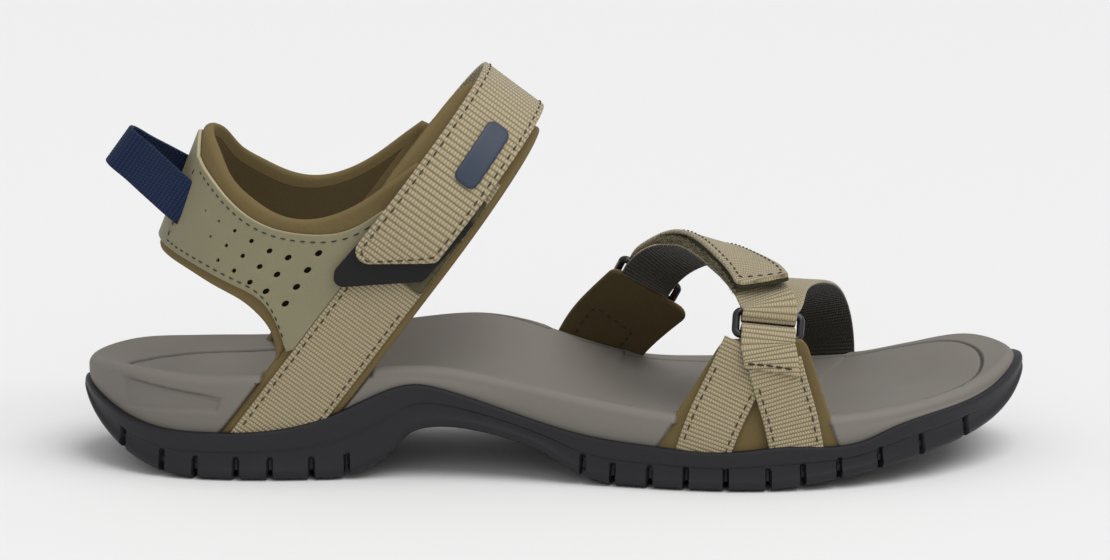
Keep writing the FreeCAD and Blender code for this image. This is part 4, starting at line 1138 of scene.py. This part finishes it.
toe_run = [((77.4, 43.6, 9.5), (0, -1, 0)), ((77.2, 44.3, 22.0), (0, -1, -0.05)),
           ((74.8, 38.4, 33.6), (-0.04, -0.8, -0.5)), ((69.2, 22.0, 43.2), (-0.08, -0.42, -0.88)),
           ((64.2, 3.5, 47.5), (-0.08, -0.1, -0.97)), ((61.0, -13.5, 48.6), (-0.08, 0.15, -0.94)),
           ((58.9, -26.5, 47.6), (-0.1, 0.5, -0.85)), lateral.offset(lateral.upper, -1.75, 2.2, -1)]
toe_run += [lateral.wrap(lateral.upper, g) for g in (180, 225, 270, 285)]
# The toe strap's inside face takes the darker khaki copy as painted shade.
strap("toe_web", toe_run, "sandal", KHAKI, ("toe_strap",), "khaki_webbing", over=KHAKI_PAINTED_SHADE, stitch=())

over_instep = [((56.6, -34.1, 49.6), (0.02, -0.86, 0.45)), ((54.8, -29.4, 51.4), (0.1, -0.55, 0.8)),
               ((50.6, -20.5, 53.2), (0.2, -0.22, 0.93)), ((43.8, -4.0, 54.2), (0.3, 0, 0.94)),
               ((36.0, 11.5, 52.0), (0.36, 0.3, 0.87))]
instep_run = [lateral.wrap(lateral.upper, g) for g in (-78, -45, 0)] + over_instep
instep_run += [((29.8, 17.6, 48.2), (0.38, 0.62, 0.69)), medial.offset(medial.upper, -4.5, 0.4, 1),
               medial.offset(medial.upper, -4.5, -1.4, 1)]
# The instep strap's underside takes the darker khaki copy as painted shade.
instep, _ = strap("instep_web", instep_run, "sandal", KHAKI, ("instep_strap",), "khaki_webbing",
                  under=KHAKI_PAINTED_SHADE)
TAPE_A, TAPE_B = 11.4, 0.80 * instep.length
sheet("forefoot_pile", rounded([(TAPE_A, -7.2), (TAPE_B, -7.2), (TAPE_B, 7.2), (TAPE_A, 7.2)], 1.0, 0.4),
      instep,
      1.35, 2.8, "sandal", PILE, 0.6, 0.4, 0.5, lift=fuzzy(0.16, 2), replaces=("forefoot_loop_tape",),
      slot="pile_tape")
flap_frames = []
for s, gap in ((TAPE_A - 2.8, 4.9), (TAPE_A + 1.0, 4.2), (TAPE_A + 9.0, 4.0), (TAPE_A + 18.0, 4.0),
               (TAPE_A + 27.0, 4.0), (TAPE_B - 2.0, 3.8)):
    p = instep(np.array([s]), 0.0, gap)[0]
    n = instep(np.array([s]), 0.0, gap + 1.0)[0] - p
    flap_frames.append((tuple(p), tuple(n)))
flap_run = flap_frames + [medial.wrap(medial.upper, g) for g in (25, 0, -30, -60, -90, -120)]
flap = Strap(flap_run)
sheet("forefoot_hooks", rounded([(0.6, -7.3), (40.0, -7.3), (40.0, 7.3), (-0.6, 7.3)], [2.5, 0.3, 0.3, 1.5],
                                0.4), flap,
      -1.15, 0.0, "forefoot_flap", HOOK, 0.6, 0.35, 0.5, lift=fuzzy(0.12, 3),
      replaces=("forefoot_hook_tape",),
      slot="hook_tape")
sheet("forefoot_flap_web", rounded([(0.8, -WEB), (flap.length, -WEB), (flap.length, WEB), (-1.4, WEB)],
                                   [3.0, 0.2, 0.2, 1.5], 0.5), flap, 0.0, 1.3, "forefoot_flap", KHAKI, 1.0,
                                   0.5, 0.15,
      replaces=("forefoot_closure_flap",), slot="khaki_webbing")
stitches("forefoot_flap_stitch", rounded([(2.6, -5.8), (flap.length * 0.72, -5.8), (flap.length * 0.72, 5.8),
                                          (1.0, 5.8)], [1.8, 0.2, 0.2, 0.8], 0.8), flap, 1.36,
                                          "forefoot_flap",
         THREAD_KHAKI, closed=True)


def fibres(name, surface, count, s_range, w_edge, h_range, body, material, seed, outward):
    """Loose pile fibres standing out of a tape's edge."""
    rng = np.random.default_rng(seed)
    s = rng.uniform(*s_range, count)
    h = rng.uniform(*h_range, count)
    w = np.full(count, w_edge) + rng.normal(0, 0.15, count)
    reach = rng.uniform(0.4, 1.25, count) * outward
    tip = surface(s + rng.normal(0, 0.5, count), w + reach, h + rng.normal(0, 0.35, count))
    verts, faces = [], []
    ring = 3
    for k in range(ring):
        g = 2 * math.pi * k / ring
        verts.append(surface(s + 0.13 * math.cos(g), w, h + 0.13 * math.sin(g)))
    verts.append(tip)
    stack = np.stack(verts, 1).reshape(-1, 3)
    for i in range(count):
        b = i * 4
        faces += [(b, b + 1, b + 3), (b + 1, b + 2, b + 3), (b + 2, b, b + 3)]
    return make_mesh(name, stack, faces, material, body, None, 0)


fibres("forefoot_pile_fibres_a", instep, 2600, (TAPE_A, TAPE_B), -7.2, (1.3, 3.0), "sandal", FIBRE, 4, -1)
fibres("forefoot_pile_fibres_b", instep, 1200, (TAPE_A, TAPE_B), 7.2, (1.3, 3.0), "sandal", FIBRE, 5, 1)
fibres("forefoot_pile_shade_a", instep, 1200, (TAPE_A, TAPE_B), -7.2, (1.3, 3.6), "sandal", HOOK, 6, -1)

for node in ("lateral_ring", "medial_ring"):
    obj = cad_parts[node]
    obj.data.materials.clear()
    obj.data.materials.append(RING)

# ---------------------------------------------------------------- stage
bpy.ops.mesh.primitive_plane_add(size=12, location=(0, 0, -0.0002))
floor = bpy.context.object
floor.name = "floor"
floor.data.materials.append(plain("pale_floor", (0.80, 0.80, 0.80), 0.9, 0.0, 0.1))

world = bpy.data.worlds.new("soft_sky")
bpy.context.scene.world = world
world.use_nodes = True
world.node_tree.nodes["Background"].inputs[0].default_value = (1, 1, 1, 1)
world.node_tree.nodes["Background"].inputs[1].default_value = 0.55


def lamp(name, kind, location, aim, energy, size):
    data = bpy.data.lights.new(name, kind)
    data.energy = energy
    if kind == "AREA":
        data.shape = "RECTANGLE"
        data.size, data.size_y = size
    else:
        data.angle = size
    obj = bpy.data.objects.new(name, data)
    bpy.context.scene.collection.objects.link(obj)
    obj.location = location
    obj.rotation_euler = (Vector(aim) - Vector(location)).to_track_quat("-Z", "Y").to_euler()
    return obj


lamp("key", "SUN", (0.75, -0.5, 1.8), (0, 0, 0), 1.85, math.radians(50))
lamp("front_fill", "AREA", (-0.2, -1.6, 0.9), (0, 0, 0.04), 3.0, (1.6, 0.9))

camera_data = bpy.data.cameras.new("camera")
camera = bpy.data.objects.new("camera", camera_data)
bpy.context.scene.collection.objects.link(camera)
camera.location = (0, -1.4672, 0.3598)
camera.rotation_euler = (Vector((0, 0, 0.0479)) - camera.location).to_track_quat("-Z", "Y").to_euler()
camera_data.sensor_width = 36
camera_data.lens = 177.6
camera_data.clip_end = 50
bpy.context.scene.camera = camera
bpy.context.scene.view_settings.view_transform = "Standard"
